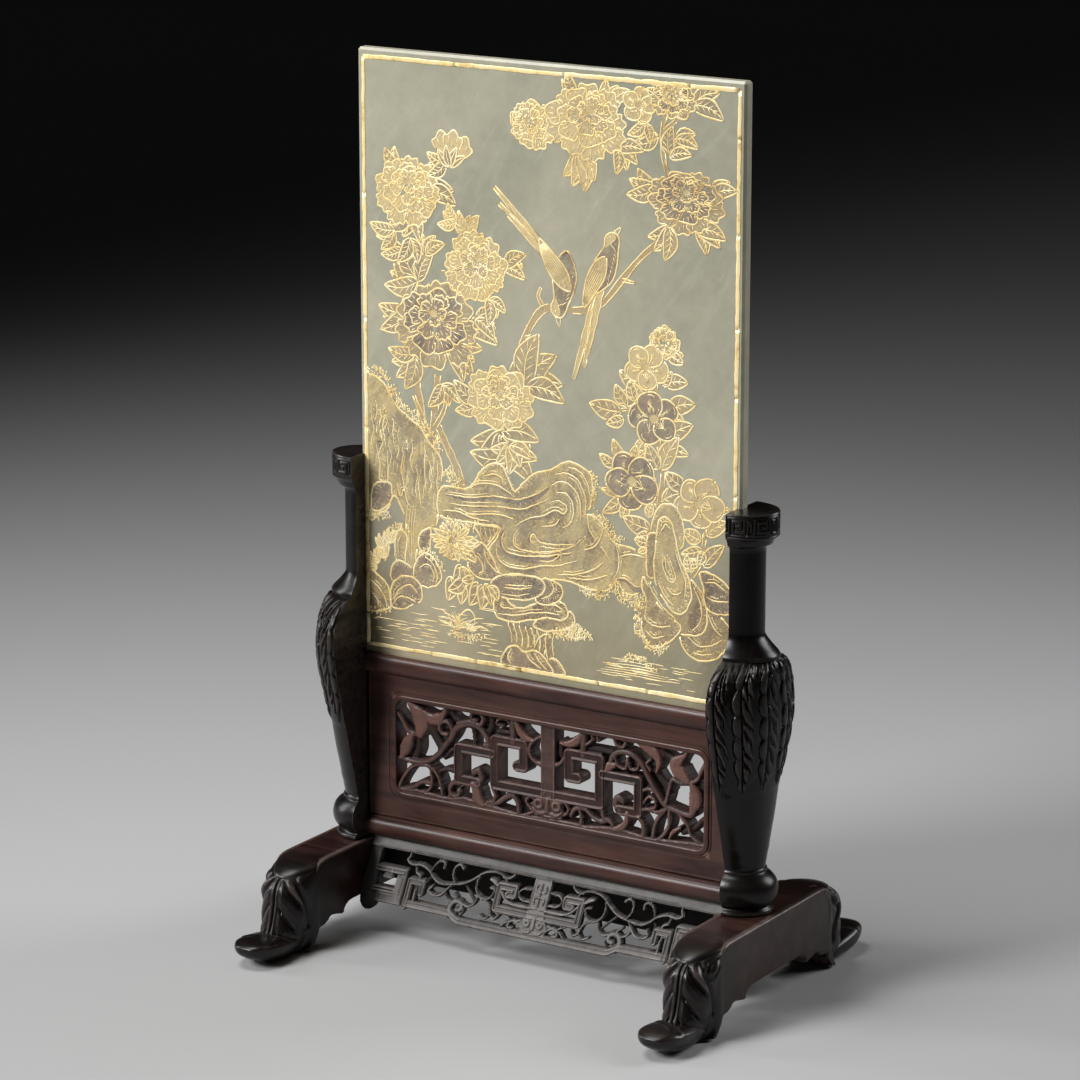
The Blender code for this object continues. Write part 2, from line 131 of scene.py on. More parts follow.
def waveNoise(x, z, scale, seed):
    # gentle seeded unevenness from a few sine waves
    rng = np.random.default_rng(seed)
    total = 0
    for i in range(5):
        ax, az, ph = rng.uniform(-1, 1), rng.uniform(-1, 1), rng.uniform(0, 6.28)
        total = total + np.sin((ax * x + az * z) / scale * 6.28 + ph)
    return total / 5


def addMesh(name, verts, faces, material, sharpAngle=None, wearAndShade=None):
    # verts are in mm; the per-vertex mark says how much handling has worn each spot: above 0 is paler wear, below 0 is
    # painted shade that darkens a hollow
    mesh = bpy.data.meshes.new(name)
    mesh.from_pydata((np.asarray(verts, float) * mm).tolist(), [], faces)
    if wearAndShade is not None:
        mesh.attributes.new("wearAndShade", "FLOAT", "POINT").data.foreach_set("value", np.asarray(wearAndShade, np.float32))
    mesh.validate()
    mesh.shade_smooth()
    if sharpAngle:
        mesh.set_sharp_from_angle(angle=math.radians(sharpAngle))
    piece = bpy.data.objects.new(name, mesh)
    bpy.context.scene.collection.objects.link(piece)
    mesh.materials.append(material)
    return piece


def settle(piece, slotName, *nodes):
    # part of the object: rides on the one body and may stand for CAD nodes
    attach(piece, "root")
    if nodes:
        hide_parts(*nodes)


def ringSkin(rings, endless=False):
    # faces through rings of equal length, capped at both ends or running round to the first again
    count, total = len(rings[0]), len(rings)
    faces = []
    for r in range(total if endless else total - 1):
        a, b = r * count, (r + 1) % total * count
        for i in range(count):
            j = (i + 1) % count
            faces.append((a + i, a + j, b + j, b + i))
    if not endless:
        faces.append(tuple(reversed(range(count))))
        faces.append(tuple(range((total - 1) * count, total * count)))
    return np.vstack(rings), faces


def turnedOver(faces):
    return [tuple(reversed(f)) for f in faces]


def outward(verts, faces):
    # turn every face of a closed shell to look outwards
    total = 0.0
    for f in faces:
        for k in range(1, len(f) - 1):
            total += float(np.dot(verts[f[0]], np.cross(verts[f[k]], verts[f[k + 1]])))
    return faces if total > 0 else turnedOver(faces)


# materials: one stone, one family of woods, and the gilt below


def isSocket(value):
    return isinstance(value, bpy.types.NodeSocket)


def feed(sock, value):
    # a socket takes another's output, a colour or a plain number
    if isSocket(value):
        value.id_data.links.new(value, sock)
    else:
        sock.default_value = (*value, 1) if isinstance(value, tuple) else value


def addNode(tree, kind, **values):
    # words with a capital letter are sockets, the others are settings of the node
    node = tree.nodes.new("ShaderNode" + kind)
    for key, value in values.items():
        if key[0].isupper():
            node.inputs[key].default_value = value
        else:
            setattr(node, key, value)
    return node


def newGroup(name, inputs, outputs):
    tree = bpy.data.node_groups.new(name, "ShaderNodeTree")
    for label, value in inputs.items():
        kind = "NodeSocketColor" if isinstance(value, tuple) else "NodeSocketFloat"
        tree.interface.new_socket(label, in_out="INPUT", socket_type=kind).default_value = value
    for label, kind in outputs.items():
        tree.interface.new_socket(label, in_out="OUTPUT", socket_type="NodeSocket" + kind)
    return tree, tree.nodes.new("NodeGroupInput").outputs, tree.nodes.new("NodeGroupOutput").inputs


def newMaterial(name):
    material = bpy.data.materials.new(name)
    material.use_nodes = True
    return material, material.node_tree, material.node_tree.nodes["Principled BSDF"].inputs


def ramp(source, *stops):
    # each stop is a place and a colour or a shade of grey
    node = addNode(source.id_data, "ValToRGB")
    band = node.color_ramp.elements
    while len(band) < len(stops):
        band.new(0.5)
    for element, (place, colour) in zip(band, stops):
        element.position = place
        element.color = (*colour, 1) if isinstance(colour, tuple) else (colour, colour, colour, 1)
    feed(node.inputs["Fac"], source)
    return node.outputs["Color"]


def mix(factor, a, b, blend="MIX"):
    tree = next(v.id_data for v in (factor, a, b) if isSocket(v))
    node = addNode(tree, "Mix", data_type="RGBA", blend_type=blend)
    for place, value in ((0, factor), (6, a), (7, b)):
        feed(node.inputs[place], value)
    return node.outputs[2]


def combine(operation, a, b, clamp=False):
    tree = (a if isSocket(a) else b).id_data
    node = addNode(tree, "Math", operation=operation, use_clamp=clamp)
    feed(node.inputs[0], a)
    feed(node.inputs[1], b)
    return node.outputs[0]


plus, minus, times, larger, smaller = (partial(combine, word) for word in
                                       ("ADD", "SUBTRACT", "MULTIPLY", "MAXIMUM", "MINIMUM"))


def stretched(tree, scale=(1, 1, 1), rotation=(0, 0, 0)):
    # turned first and squeezed after, so that streaks can run aslant
    place = addNode(tree, "TexCoord")
    mapping = addNode(tree, "Mapping", vector_type="TEXTURE", Rotation=rotation,
                      Scale=tuple(1 / size for size in scale))
    feed(mapping.inputs["Vector"], place.outputs["Object"])
    return mapping.outputs["Vector"]


def noise(vector, scale, detail=4, rough=0.55, distortion=0.0):
    node = addNode(vector.id_data, "TexNoise", Scale=scale, Detail=detail, Roughness=rough, Distortion=distortion)
    feed(node.inputs["Vector"], vector)
    return node.outputs["Fac"]


def spot(tree):
    # the place of a spot on the object, axis by axis
    cut = addNode(tree, "SeparateXYZ")
    feed(cut.inputs[0], addNode(tree, "TexCoord").outputs["Object"])
    return cut.outputs


def buildStoneGroup():
    # cloudy pale green serpentine, with a milky patch low on the left and fine diagonal scratches
    tree, _, gout = newGroup("serpentineCloud", {}, {"Colour": "Color", "Scratch": "Float"})
    place = stretched(tree)
    base = ramp(noise(place, 16, 5, 0.55, 0.6), (0.3, (0.285, 0.283, 0.212)), (0.52, (0.355, 0.337, 0.248)),
                (0.72, (0.44, 0.405, 0.3)))
    fine = noise(place, 220, 3, 0.6)
    base = mix(0.14, base, ramp(fine, (0.3, (0.24, 0.26, 0.21)), (0.7, (0.56, 0.55, 0.44))))
    streak = noise(stretched(tree, (85, 85, 24), (0, 0.62, 0)), 1, 4, 0.6, 0.8)
    base = mix(ramp(streak, (0.55, 0), (0.75, 0.3)), base, (0.5, 0.5, 0.4))
    milk = noise(stretched(tree), 30, 4, 0.6)
    at = spot(tree)
    dx, dz = plus(at["X"], 0.045), minus(at["Z"], 0.103)
    far = plus(times(dx, dx), times(dz, dz))
    patch = times(minus(1, times(far, 2600), True), milk, True)
    base = mix(patch, base, (0.58, 0.54, 0.42))
    # yellower and duller low down; the corners beside the posts are darkened as painted shade from the posts
    low = ramp(times(at["Z"], 4), (0.42, 1), (0.66, 0))
    base = mix(low, base, (0.8, 0.735, 0.63), "MULTIPLY")
    postShade = times(ramp(times(combine("ABSOLUTE", at["X"], 0.0), 10), (0.54, 0), (0.69, 1)), low)
    base = mix(postShade, base, (0.4, 0.37, 0.34), "MULTIPLY")
    scratch = noise(stretched(tree, (760, 760, 85), (0, 0.62, 0)), 1, 2, 0.5, 0.9)
    other = noise(stretched(tree, (820, 820, 95), (0, -0.95, 0)), 1, 2, 0.5, 0.9)
    lines = ramp(larger(scratch, times(other, 0.95)), (0.62, 0), (0.71, 1))
    base = mix(times(lines, 0.1), base, (0.62, 0.62, 0.52))
    feed(gout["Colour"], base)
    feed(gout["Scratch"], lines)
    return tree


def buildWoodGroup():
    # close-grained hardwood: long grain, pores, dust in the hollows, pale wear on the edges and painted shade where the
    # mark is below zero
    tree, gin, gout = newGroup(
        "hardwoodGrain",
        {"Dark": (0.012, 0.008, 0.007, 1), "Light": (0.03, 0.02, 0.016, 1), "Worn": (0.2, 0.16, 0.13, 1),
         "Wear": 0.5, "Dust": 0.3, "Gloss": 0.32, "Upright": 0.0},
        {"Colour": "Color", "Roughness": "Float", "Height": "Float"})
    flat = noise(stretched(tree, (25, 180, 220)), 1, 5, 0.6, 0.4)
    tall = noise(stretched(tree, (220, 180, 22)), 1, 5, 0.6, 0.4)
    blend = addNode(tree, "Mix", data_type="FLOAT")
    for place, value in ((0, gin["Upright"]), (2, flat), (3, tall)):
        feed(blend.inputs[place], value)
    grain = blend.outputs[0]
    body = mix(ramp(grain, (0.35, 0), (0.65, 1)), gin["Dark"], gin["Light"])
    bend = addNode(tree, "NewGeometry").outputs["Pointiness"]
    sharp = ramp(bend, (0.515, 0), (0.6, 1))
    broken = noise(stretched(tree), 380, 3, 0.65)
    worn = times(sharp, ramp(broken, (0.3, 0.2), (0.65, 1)))
    wearAndShade = addNode(tree, "Attribute", attribute_name="wearAndShade").outputs["Fac"]
    handled = times(larger(wearAndShade, 0.0), ramp(broken, (0.3, 0.45), (0.6, 1)))
    worn = times(plus(worn, handled), gin["Wear"], True)
    body = mix(worn, body, gin["Worn"])
    # painted shade: a mark below zero darkens hollows, creases and the backs of openings towards black
    hollowShade = times(smaller(wearAndShade, 0.0), -0.85, True)
    body = mix(hollowShade, body, (0.003, 0.0025, 0.002))
    smear = noise(stretched(tree), 55, 4, 0.6)
    deep = ramp(bend, (0.4, 1), (0.49, 0))
    dusty = plus(times(ramp(smear, (0.42, 0), (0.75, 1)), 0.5), times(deep, 0.25))
    dusty = times(dusty, gin["Dust"], True)
    dusty = times(dusty, minus(1, hollowShade))
    body = mix(dusty, body, (0.145, 0.13, 0.118))
    rough = plus(gin["Gloss"], times(smear, 0.16))
    rough = plus(rough, times(dusty, 0.35))
    rough = plus(rough, times(hollowShade, 0.4), True)
    height = plus(times(grain, 0.6), times(broken, 0.4))
    for label, value in (("Colour", body), ("Roughness", rough), ("Height", height)):
        feed(gout[label], value)
    return tree


stoneGroup = buildStoneGroup()
woodGroup = buildWoodGroup()


def woodMaterial(name, look):
    material, tree, shader = newMaterial(name)
    wood = tree.nodes.new("ShaderNodeGroup")
    wood.node_tree = woodGroup
    for label in ("Dark", "Light", "Worn"):
        key = label.lower()
        feed(wood.inputs[label], look[key])
        if key + "Ends" in look:
            # the board is redder in the middle and near black towards the legs
            away = times(combine("ABSOLUTE", spot(tree)["Y"], 0.0), 20)
            feed(wood.inputs[label], mix(ramp(away, (0.44, 0), (0.76, 1)), look[key], look[key + "Ends"]))
    for label in ("Wear", "Dust", "Gloss", "Upright"):
        wood.inputs[label].default_value = look.get(label.lower(), 0)
    bump = addNode(tree, "Bump", Strength=look["bump"], Distance=0.0002)
    feed(shader["Base Color"], wood.outputs["Colour"])
    feed(shader["Roughness"], wood.outputs["Roughness"])
    feed(bump.inputs["Height"], wood.outputs["Height"])
    feed(shader["Normal"], bump.outputs["Normal"])
    shader["Specular IOR Level"].default_value = look["shine"]
    return material


woodLooks = {
    "darkHardwood": dict(dark=(0.0014, 0.001, 0.0009), light=(0.0046, 0.0032, 0.0027), worn=(0.12, 0.097, 0.086),
                         wear=0.5, dust=0.05, gloss=0.2, upright=1, bump=0.25, shine=0.26),
    "footWood": dict(dark=(0.0125, 0.0048, 0.0038), light=(0.036, 0.015, 0.0115), darkEnds=(0.0022, 0.0015, 0.0013),
                     lightEnds=(0.0072, 0.0046, 0.004), worn=(0.22, 0.17, 0.15), wear=0.75, dust=0.07, gloss=0.23,
                     bump=0.25, shine=0.34),
    "redHardwood": dict(dark=(0.02, 0.008, 0.0062), light=(0.07, 0.0265, 0.0195), worn=(0.27, 0.16, 0.12),
                        wear=0.7, dust=0.14, gloss=0.26, bump=0.3, shine=0.32),
    "panelHardwood": dict(dark=(0.013, 0.006, 0.0052), light=(0.043, 0.018, 0.0148), worn=(0.25, 0.148, 0.122),
                          wear=0.65, dust=0.16, gloss=0.32, bump=0.3, shine=0.28),
    "leafHardwood": dict(dark=(0.05, 0.0195, 0.0135), light=(0.1, 0.039, 0.027), worn=(0.31, 0.165, 0.125),
                         wear=0.38, dust=0.14, gloss=0.34, bump=0.3, shine=0.5),
    "wornHardwood": dict(dark=(0.011, 0.0092, 0.0085), light=(0.03, 0.026, 0.0235), worn=(0.27, 0.24, 0.222),
                         wear=0.8, dust=0.3, gloss=0.42, bump=0.3, shine=0.42),
    # near black as painted shade: the board behind the apron
    "backHardwoodInShade": dict(dark=(0.0022, 0.0016, 0.0014), light=(0.0062, 0.0042, 0.0036), worn=(0.08, 0.065, 0.058),
                         wear=0.4, dust=0.05, gloss=0.5, bump=0.3, shine=0.1),
}
woods = {name: woodMaterial(name, look) for name, look in woodLooks.items()}


def stoneMaterial(name, wash=None, amount=0.0, sheen=0.0, hatch=0.0, rough=0.3, under=None, gild=0.0):
    # bare stone, or stone under a thin worn wash of colour
    material, tree, shader = newMaterial(name)
    stone = tree.nodes.new("ShaderNodeGroup")
    stone.node_tree = stoneGroup
    colour = stone.outputs["Colour"]
    if wash:
        cover = ramp(noise(stretched(tree), 150, 5, 0.65), (0.32, amount * 0.55), (0.62, amount))
        brushed = noise(stretched(tree, (1500, 900, 260), (0, 0.5, 0)), 1, 2, 0.5)
        cover = times(cover, ramp(brushed, (0.35, 1 - hatch), (0.6, 1)))
        if under:
            streaks = noise(stretched(tree, (1, 1, 0.6), (0, 0.35, 0)), 75, 5, 0.62, 1.6)
            wash = mix(ramp(streaks, (0.38, 0), (0.58, 1)), under, wash)
        colour = mix(cover, colour, wash)
        # fine brushed strokes of gold over the wash, in two directions
        strokes = noise(stretched(tree, (2600, 900, 420), (0, 0.75, 0)), 1, 3, 0.6)
        across = noise(stretched(tree, (420, 900, 2400), (0, 0.45, 0)), 1, 3, 0.6)
        strokes = larger(strokes, across)
        colour = mix(ramp(strokes, (0.56, 0), (0.68, gild)), colour, (0.92, 0.72, 0.36))
        if sheen:
            feed(shader["Metallic"], times(cover, sheen))
    feed(shader["Base Color"], colour)
    feed(shader["Roughness"], plus(times(stone.outputs["Scratch"], 0.12), rough))
    shader["Subsurface Weight"].default_value = 0.0 if wash else 0.12
    shader["Subsurface Radius"].default_value = (0.5, 0.6, 0.4)
    shader["Subsurface Scale"].default_value = 0.004
    return material


stonePolished = stoneMaterial("serpentine")
print("materials made")

# the slab keeps its solid and takes the polished stone

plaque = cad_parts["serpentine_plaque"]
plaque.data.materials.clear()
plaque.data.materials.append(stonePolished)

# the gilt picture: birds and flowers over garden rocks, in mm, heights measured from the table
# what is painted first lies lowest

picture = dict(face=-2.25, washBase=0.004, washStep=0.0006, lineRise=0.045, outline=0.62, vein=0.3, border=69.8,
               borderLow=97.4, borderHigh=293.7)
art = dict(washes=[], lines=[], boxes=[])
goldTones = ("petalGold",) * 3
paleTones = ("petalGold", "petalGold", "petalWash")
plumTones = ("leafWash", "plumWash", "plumWash")


def topLevel(low, high):
    # the highest wash already painted anywhere within a box
    if not art["boxes"]:
        return 0
    box = np.array(art["boxes"])
    over = (box[:, 0] < high[0]) & (box[:, 2] > low[0]) & (box[:, 1] < high[1]) & (box[:, 3] > low[1])
    return int(box[over, 4].max()) if over.any() else 0


def wash(outline, tone, strip=False):
    # a thin area of colour; a strip is given as one edge and then the other edge back again
    outline = np.array(outline, float)
    low, high = outline.min(0), outline.max(0)
    level = topLevel(low, high) + 1
    art["boxes"].append((*low, *high, level))
    art["washes"].append((len(art["washes"]) + 1, level, outline, tone, strip))


def line(points, width=picture["outline"], steps=5, taper=0.35):
    path = smoothPath(points, steps) if steps else pairs(points)
    level = topLevel(path.min(0) - 0.3, path.max(0) + 0.3)
    art["lines"].append((len(art["washes"]), level, path, width, taper))


def rimmed(edge, tone, width=picture["outline"], taper=0.8, steps=0):
    # an area of colour with a bright line all round it
    wash(edge, tone)
    line(np.vstack([edge, edge[:1]]), width, steps, taper)


def turned(points, cx, cz, aim):
    # local points (along, across) to the plaque, the long way aimed in degrees
    p = pairs(points)
    c, s = math.cos(math.radians(aim)), math.sin(math.radians(aim))
    return np.column_stack([cx + (p[:, 0] * c - p[:, 1] * s), cz + (p[:, 0] * s + p[:, 1] * c)])


def shaken(path, amount, first, second, seed):
    # the small unevenness of a brush
    x, z = path.T
    return path + amount * np.column_stack([waveNoise(x, z, first, seed), waveNoise(x, z, second, seed + 5)])


def leaf(x, z, aim, length, width=None, bend=0.12, tone="leafWash", veins=5):
    width = width or length * 0.25
    t = np.linspace(0, 1, 10)
    half = width * np.sin(math.pi * t ** 0.82) ** 0.8 * (1 - 0.12 * t)
    mid = bend * length * np.sin(math.pi * t)
    upper, middle, lower = (np.column_stack([t * length, mid + off]) for off in (half, 0 * half, -half))
    wash(turned(np.vstack([upper, lower[-2:0:-1]]), x, z, aim), tone)
    line(turned(upper, x, z, aim), steps=2, taper=0.55)
    line(turned(lower, x, z, aim), steps=2, taper=0.55)
    line(turned(middle[:9], x, z, aim), 0.42, steps=2)
    for k in range(veins):
        a = 0.1 + 0.66 * k / max(1, veins - 1)
        for sign in (-1, 1):
            m = np.interp(a, t, mid)
            b = min(0.97, a + 0.2)
            end = np.interp(b, t, mid) + sign * 0.86 * np.interp(b, t, half)
            line(turned((a * length, m, (a + b) / 2 * length, (m * 1.2 + end * 0.8) / 2, b * length, end), x, z, aim),
                 picture["vein"], steps=1)


def fan(x, z, aims, length, **rest):
    for k, a in enumerate(aims):
        leaf(x, z, a, length * (0.85 + 0.3 * ((k * 7) % 5) / 5), **rest)


def fans(*rows):
    for x, z, length, *aims in rows:
        fan(x, z, aims, length)


def petal(x, z, aim, reach, spread, tone, veins=7, waves=3, squash=1.0, phase=0.0, heart=(0, 0), seed=0):
    # fan-shaped, its far edge gently scalloped, hatched from the edge inwards and from the foot outwards
    t = np.linspace(-1, 1, 17)
    full = 0.58 + 0.42 * np.cos(math.pi / 2 * t) ** 0.62
    r = reach * full * (1 + 0.055 * np.cos(waves * math.pi * t + phase))
    a = np.radians(spread * np.sin(math.pi / 2 * t))

    def laid(points):
        out = turned(points, x, z, aim)
        out[:, 1] = heart[1] + (out[:, 1] - heart[1]) * squash
        return out

    outline = laid([*zip(r * np.cos(a), r * np.sin(a)), (reach * 0.05, 0.0)])
    wash(outline, tone)
    line(outline[:-1], steps=2, taper=0.6)
    line(outline[[-1, 0]], 0.44, steps=1)
    line(outline[[-2, -1]], 0.44, steps=1)
    for k in range(veins):
        v = -0.8 + 1.6 * k / max(1, veins - 1)
        rr = reach * np.interp(v, t, full)
        av = math.radians(spread * math.sin(math.pi / 2 * v))
        inner = 0.52 + 0.1 * ((k * 5 + seed) % 3)
        line(laid([around(0, 0, rr * f, av * g) for f, g in ((inner, 0.92), ((inner + 0.95) / 2, 0.97), (0.95, 1))]),
             picture["vein"], steps=1)
        if k % 2:
            line(laid([around(0, 0, rr * f, av * 0.7) for f in (0.12, 0.28, 0.44)]), 0.24, steps=1)


def dot(x, z, r):
    line([(x - r * 0.6, z), (x + r * 0.6, z)], r * 1.9, steps=2, taper=0.7)


def stamens(x, z, r, count, squash, rng):
    wash([around(x, z, r * 0.42, a, squash) for a in np.linspace(0, 6.2, 9)], "petalGold")
    for k in range(count):
        a = 6.28 * k / count + rng.uniform(-0.15, 0.15)
        tip = around(x, z, r * rng.uniform(0.75, 1.05), a, squash)
        line([around(x, z, 0.25 * r, a, squash), tip], 0.26, steps=1)
        dot(*tip, 0.34)


def peony(x, z, r, aim, tones, squash, seed, full=3):
    # rounds of petals, each leaning a little further than the one below
    rng = np.random.default_rng(seed)
    rings = ((1.0, 9, 0.16, 27, 8), (0.78, 7, 0.14, 31, 7), (0.55, 6, 0.1, 33, 6), (0.34, 5, 0.05, 36, 5))[:full + 1]
    lean = around(0, 0, 0.09 * r, math.radians(aim))
    for ring, (size, count, off, spread, veins) in enumerate(rings):
        turn = rng.uniform(0, 360)
        heart = (x + lean[0] * ring, z + lean[1] * ring)
        for k in rng.permutation(count):
            a = turn + 360 * k / count + rng.uniform(-7, 7)
            foot = off * r
            petal(*around(*heart, foot, math.radians(a)), a, (r * size - foot) * rng.uniform(0.88, 1.04),
                  spread * rng.uniform(0.95, 1.2), tones[min(ring, 2)], veins, int(rng.integers(2, 6)), squash,
                  rng.uniform(0, 6), heart, int(rng.integers(0, 9)))
    stamens(x + 2.8 * lean[0], z + 2.8 * lean[1], r * 0.22, 11, squash, rng)


def blossom(x, z, r, tone, seed, squash=0.95, petals=5):
    # an open flower of rounded petals, each with a broad gilt rim and a few strokes from the heart
    rng = np.random.default_rng(seed)
    turn = rng.uniform(0, 360)
    for k in rng.permutation(petals):
        a = math.radians(turn + 360 * k / petals)
        far, wide = r * rng.uniform(0.54, 0.6), r * rng.uniform(0.38, 0.46)
        cx, cz = around(x, z, far, a, squash)
        rimmed([around(cx, cz, wide * (1 - 0.16 * math.cos(t)) * (1 + 0.05 * math.cos(3 * t + k)), a + t, squash)
                for t in np.linspace(0, 2 * math.pi, 18, endpoint=False)], tone, 0.62, 0.9, 2)
        for off in (-0.5, -0.25, 0, 0.25, 0.5):
            line([around(cx, cz, -wide, a + off, squash), around(cx, cz, wide * 0.2, a + off * 3, squash)], 0.26,
                 steps=2)
        line([around(cx, cz, wide * 0.62, a + v, squash) for v in (-1.1, -0.5, 0.1)], 0.34, steps=3)
    stamens(x, z, r * 0.4, 12, squash, rng)


def daisy(x, z, r, seed):
    # chrysanthemum: two rounds of narrow petals
    rng = np.random.default_rng(seed)
    for size, count in ((1.0, 19), (0.62, 13)):
        for k in range(count):
            a = 360 * k / count + rng.uniform(-6, 6)
            far = r * size * rng.uniform(0.86, 1.05)
            petal(*around(x, z, 0.12 * r, math.radians(a), 5 / 6), a, far, 9, "petalGold", 2, 2, 0.8, 0, (x, z))
    stamens(x, z + 0.4, r * 0.26, 9, 0.8, rng)


def bud(x, z, aim, size):
    for off, wide in ((-26, 26), (26, 26), (0, 24)):
        petal(x, z, aim + off, size, wide, "petalGold", 4, 3)
    for off in (-48, 48, -15, 20):
        leaf(x, z, aim + off, size * 0.62, size * 0.12, 0.05, "leafWash", 0)


def stem(points, wide, narrow, tone="stemWash"):
    path = smoothPath(points, 5)
    t = np.linspace(0, 1, len(path))
    side = pathSides(path)[1]
    half = (wide * (1 - t) + narrow * t) * (1 + 0.14 * np.sin(t * 31 + path[0, 0])) / 2
    a, b = path + side * half[:, None], path - side * half[:, None]
    wash(np.vstack([a, b[::-1]]), tone, True)
    line(a, 0.46, steps=0, taper=0.7)
    line(b, 0.46, steps=0, taper=0.7)
    for k in range(2, len(path) - 2, 4):
        line([path[k] + side[k] * half[k] * 0.5, path[k + 2] - side[k + 2] * half[k + 2] * 0.4], 0.24, steps=1)


def stems(*rows):
    for wide, narrow, *points in rows:
        stem(points, wide, narrow)


def mass(outline, tone, seed, hatch=1.0):
    # one lump of weathered rock: colour, a bright uneven outline and short hatching from its rim
    rng = np.random.default_rng(seed)
    edge = smoothPath(outline, 5, closed=True)
    centre = edge.mean(0)
    edge = shaken(edge, 0.3, 3.1, 2.7, seed)
    rimmed(edge, tone, 0.66, 0.9)
    for k in range(0, int(len(edge) * hatch)):
        p = edge[k % len(edge)]
        inward = (centre - p) / max(1e-6, np.hypot(*(centre - p)))
        side = np.array([-inward[1], inward[0]]) * rng.uniform(-0.5, 0.7)
        line([p + inward * 0.3, p + (inward + side) * rng.uniform(0.8, 2.4)], 0.21, steps=1)


def fold(points, shade=1.9, width=0.5, hatch=1, tone="rockShade", seed=7):
    # a flowing ridge: bright line, soft dark strip along one side and hatching on the other
    rng = np.random.default_rng(seed + len(pairs(points)))
    path = shaken(smoothPath(points, 6), 0.22, 1.9, 1.6, seed)
    t = np.linspace(0, 1, len(path))
    d, side = pathSides(path)
    if shade:
        deep = shade * np.sin(math.pi * np.clip(t, 0.02, 0.98)) ** 0.6 * (0.75 + 0.25 * np.sin(7 * t + seed))
        wash(np.vstack([path - side * 0.1, (path - side * deep[:, None])[::-1]]), tone, True)
    line(path, width, steps=0, taper=0.25)
    for k in range(1, len(path) - 1, hatch or len(path)):
        out = side[k] + d[k] * rng.uniform(-0.5, 0.9)
        line([path[k] + side[k] * 0.3, path[k] + out * rng.uniform(0.9, 2.2)], 0.21, steps=1)
    # a second, broken line keeps company with the first
    if width > 0.45 and len(path) > 12:
        first = int(rng.integers(1, len(path) // 3))
        last = first + int(len(path) * rng.uniform(0.3, 0.55))
        line(path[first:last] + side[first:last] * rng.uniform(0.8, 1.3), 0.28, steps=0)


def folds(*rows):
    for shade, *points in rows:
        fold(points, shade)


def fringe(points, size=1.5, every=1.1, seed=3):
    # mossy edge: tiny sprigs with round tips
    rng = np.random.default_rng(seed)
    path = smoothPath(points, 8)
    walk = np.concatenate([[0], np.cumsum(np.hypot(*(path[1:] - path[:-1]).T))])
    for s in np.arange(0, walk[-1], every):
        x, z = np.interp(s, walk, path[:, 0]), np.interp(s, walk, path[:, 1])
        x, z = x + rng.uniform(-0.5, 0.5), z + rng.uniform(-0.5, 0.5)
        for k in range(3):
            tip = around(x, z, size * 0.75, rng.uniform(0, 6.28))
            line([(x, z), tip], 0.44, steps=1)
            dot(*tip, 0.44)


def fringes(*rows):
    for size, every, seed, *points in rows:
        fringe(points, size, every, seed)


def ripples(x0, x1, z0, z1, count, seed):
    rng = np.random.default_rng(seed)
    for k in range(count):
        x, z = rng.uniform(x0, x1), rng.uniform(z0, z1)
        w = rng.uniform(2.5, 8)
        line((x - w / 2, z, x, z + rng.uniform(-0.25, 0.25), x + w / 2, z + rng.uniform(-0.15, 0.15)), 0.24, steps=2)


def grass(x, z, size, count, seed):
    rng = np.random.default_rng(seed)
    for k in range(count):
        a = math.radians(90 + rng.uniform(-70, 70))
        s = size * rng.uniform(0.5, 1)
        dx, dz = s * math.cos(a), s * math.sin(a)
        tip = (x + dx * 1.3, z + dz)
        x = x + rng.uniform(-0.9, 0.9)
        line([(x, z), (x + 0.3 * dx, z + 0.65 * dz), tip], 0.3, steps=3, taper=0.1)


def bird(x, z, aim, size, tail, tailAim, wingAim, seed, hand=1):
    # a plain long-tailed garden bird: overlapping tail plumes, body and head in one line, crown, folded wing
    rng = np.random.default_rng(seed)

    def laid(points, at=aim):
        return turned(pairs(points) * size * (1, hand), x, z, at)

    for k, off in enumerate((-1.4, 1.4, 0)):
        far = tail / size * (1 - 0.13 * k)
        plume = pairs((0, 0, far * 0.5, (k - 1) * 0.05, far, (k - 1) * 0.08))
        stem(turned(plume * size, x, z, tailAim + off), size * 0.27, size * 0.09, "petalGold")
    rimmed(smoothPath(laid((-0.6, 0.02, -0.3, 0.28, 0.1, 0.35, 0.42, 0.29, 0.64, 0.25, 0.84, 0.31, 1, 0.27, 1.1, 0.13,
                            1.07, -0.02, 0.93, -0.11, 0.72, -0.17, 0.4, -0.28, 0, -0.33, -0.35, -0.2)), 4, True),
           "featherWash")
    wash(smoothPath(laid((0.62, 0.22, 0.84, 0.29, 0.99, 0.25, 1.08, 0.12, 0.98, 0.03, 0.8, 0.1)), 4, True), "petalGold")
    line(laid((1.06, 0.17, 1.2, 0.11, 1.31, 0.02, 1.16, 0.01, 1.06, 0.03)), 0.42, steps=2)
    line(laid((0.66, -0.12, 0.74, -0.02, 0.8, 0.1, 0.98, 0.03)), 0.34, steps=3)
    dot(*laid((0.95, 0.17))[0], 0.42)
    for k in range(9):
        u = 0.62 - 0.11 * k
        line(laid((u, -0.08 - 0.02 * k, u - 0.1, -0.2 - 0.006 * k)), 0.26, steps=2)
    rimmed(smoothPath(laid((0.4, 0.1, 0.2, 0.3, -0.25, 0.36, -0.75, 0.24, -1.1, 0.04, -0.6, -0.06, -0.05, -0.1),
                           wingAim), 4, True), "petalWash")
    for k in range(8):
        v = -0.05 + 0.052 * k
        line(laid((0.02, v, -0.45, v + 0.02, -0.98, v * 0.35 + 0.03), wingAim), picture["vein"], steps=2)
    for k in range(14):
        u = rng.uniform(0.04, 0.3)
        v = rng.uniform(-0.02, 0.26)
        line(laid((u, v, u - 0.06, v + 0.03, u - 0.08, v - 0.03), wingAim), 0.28, steps=1)


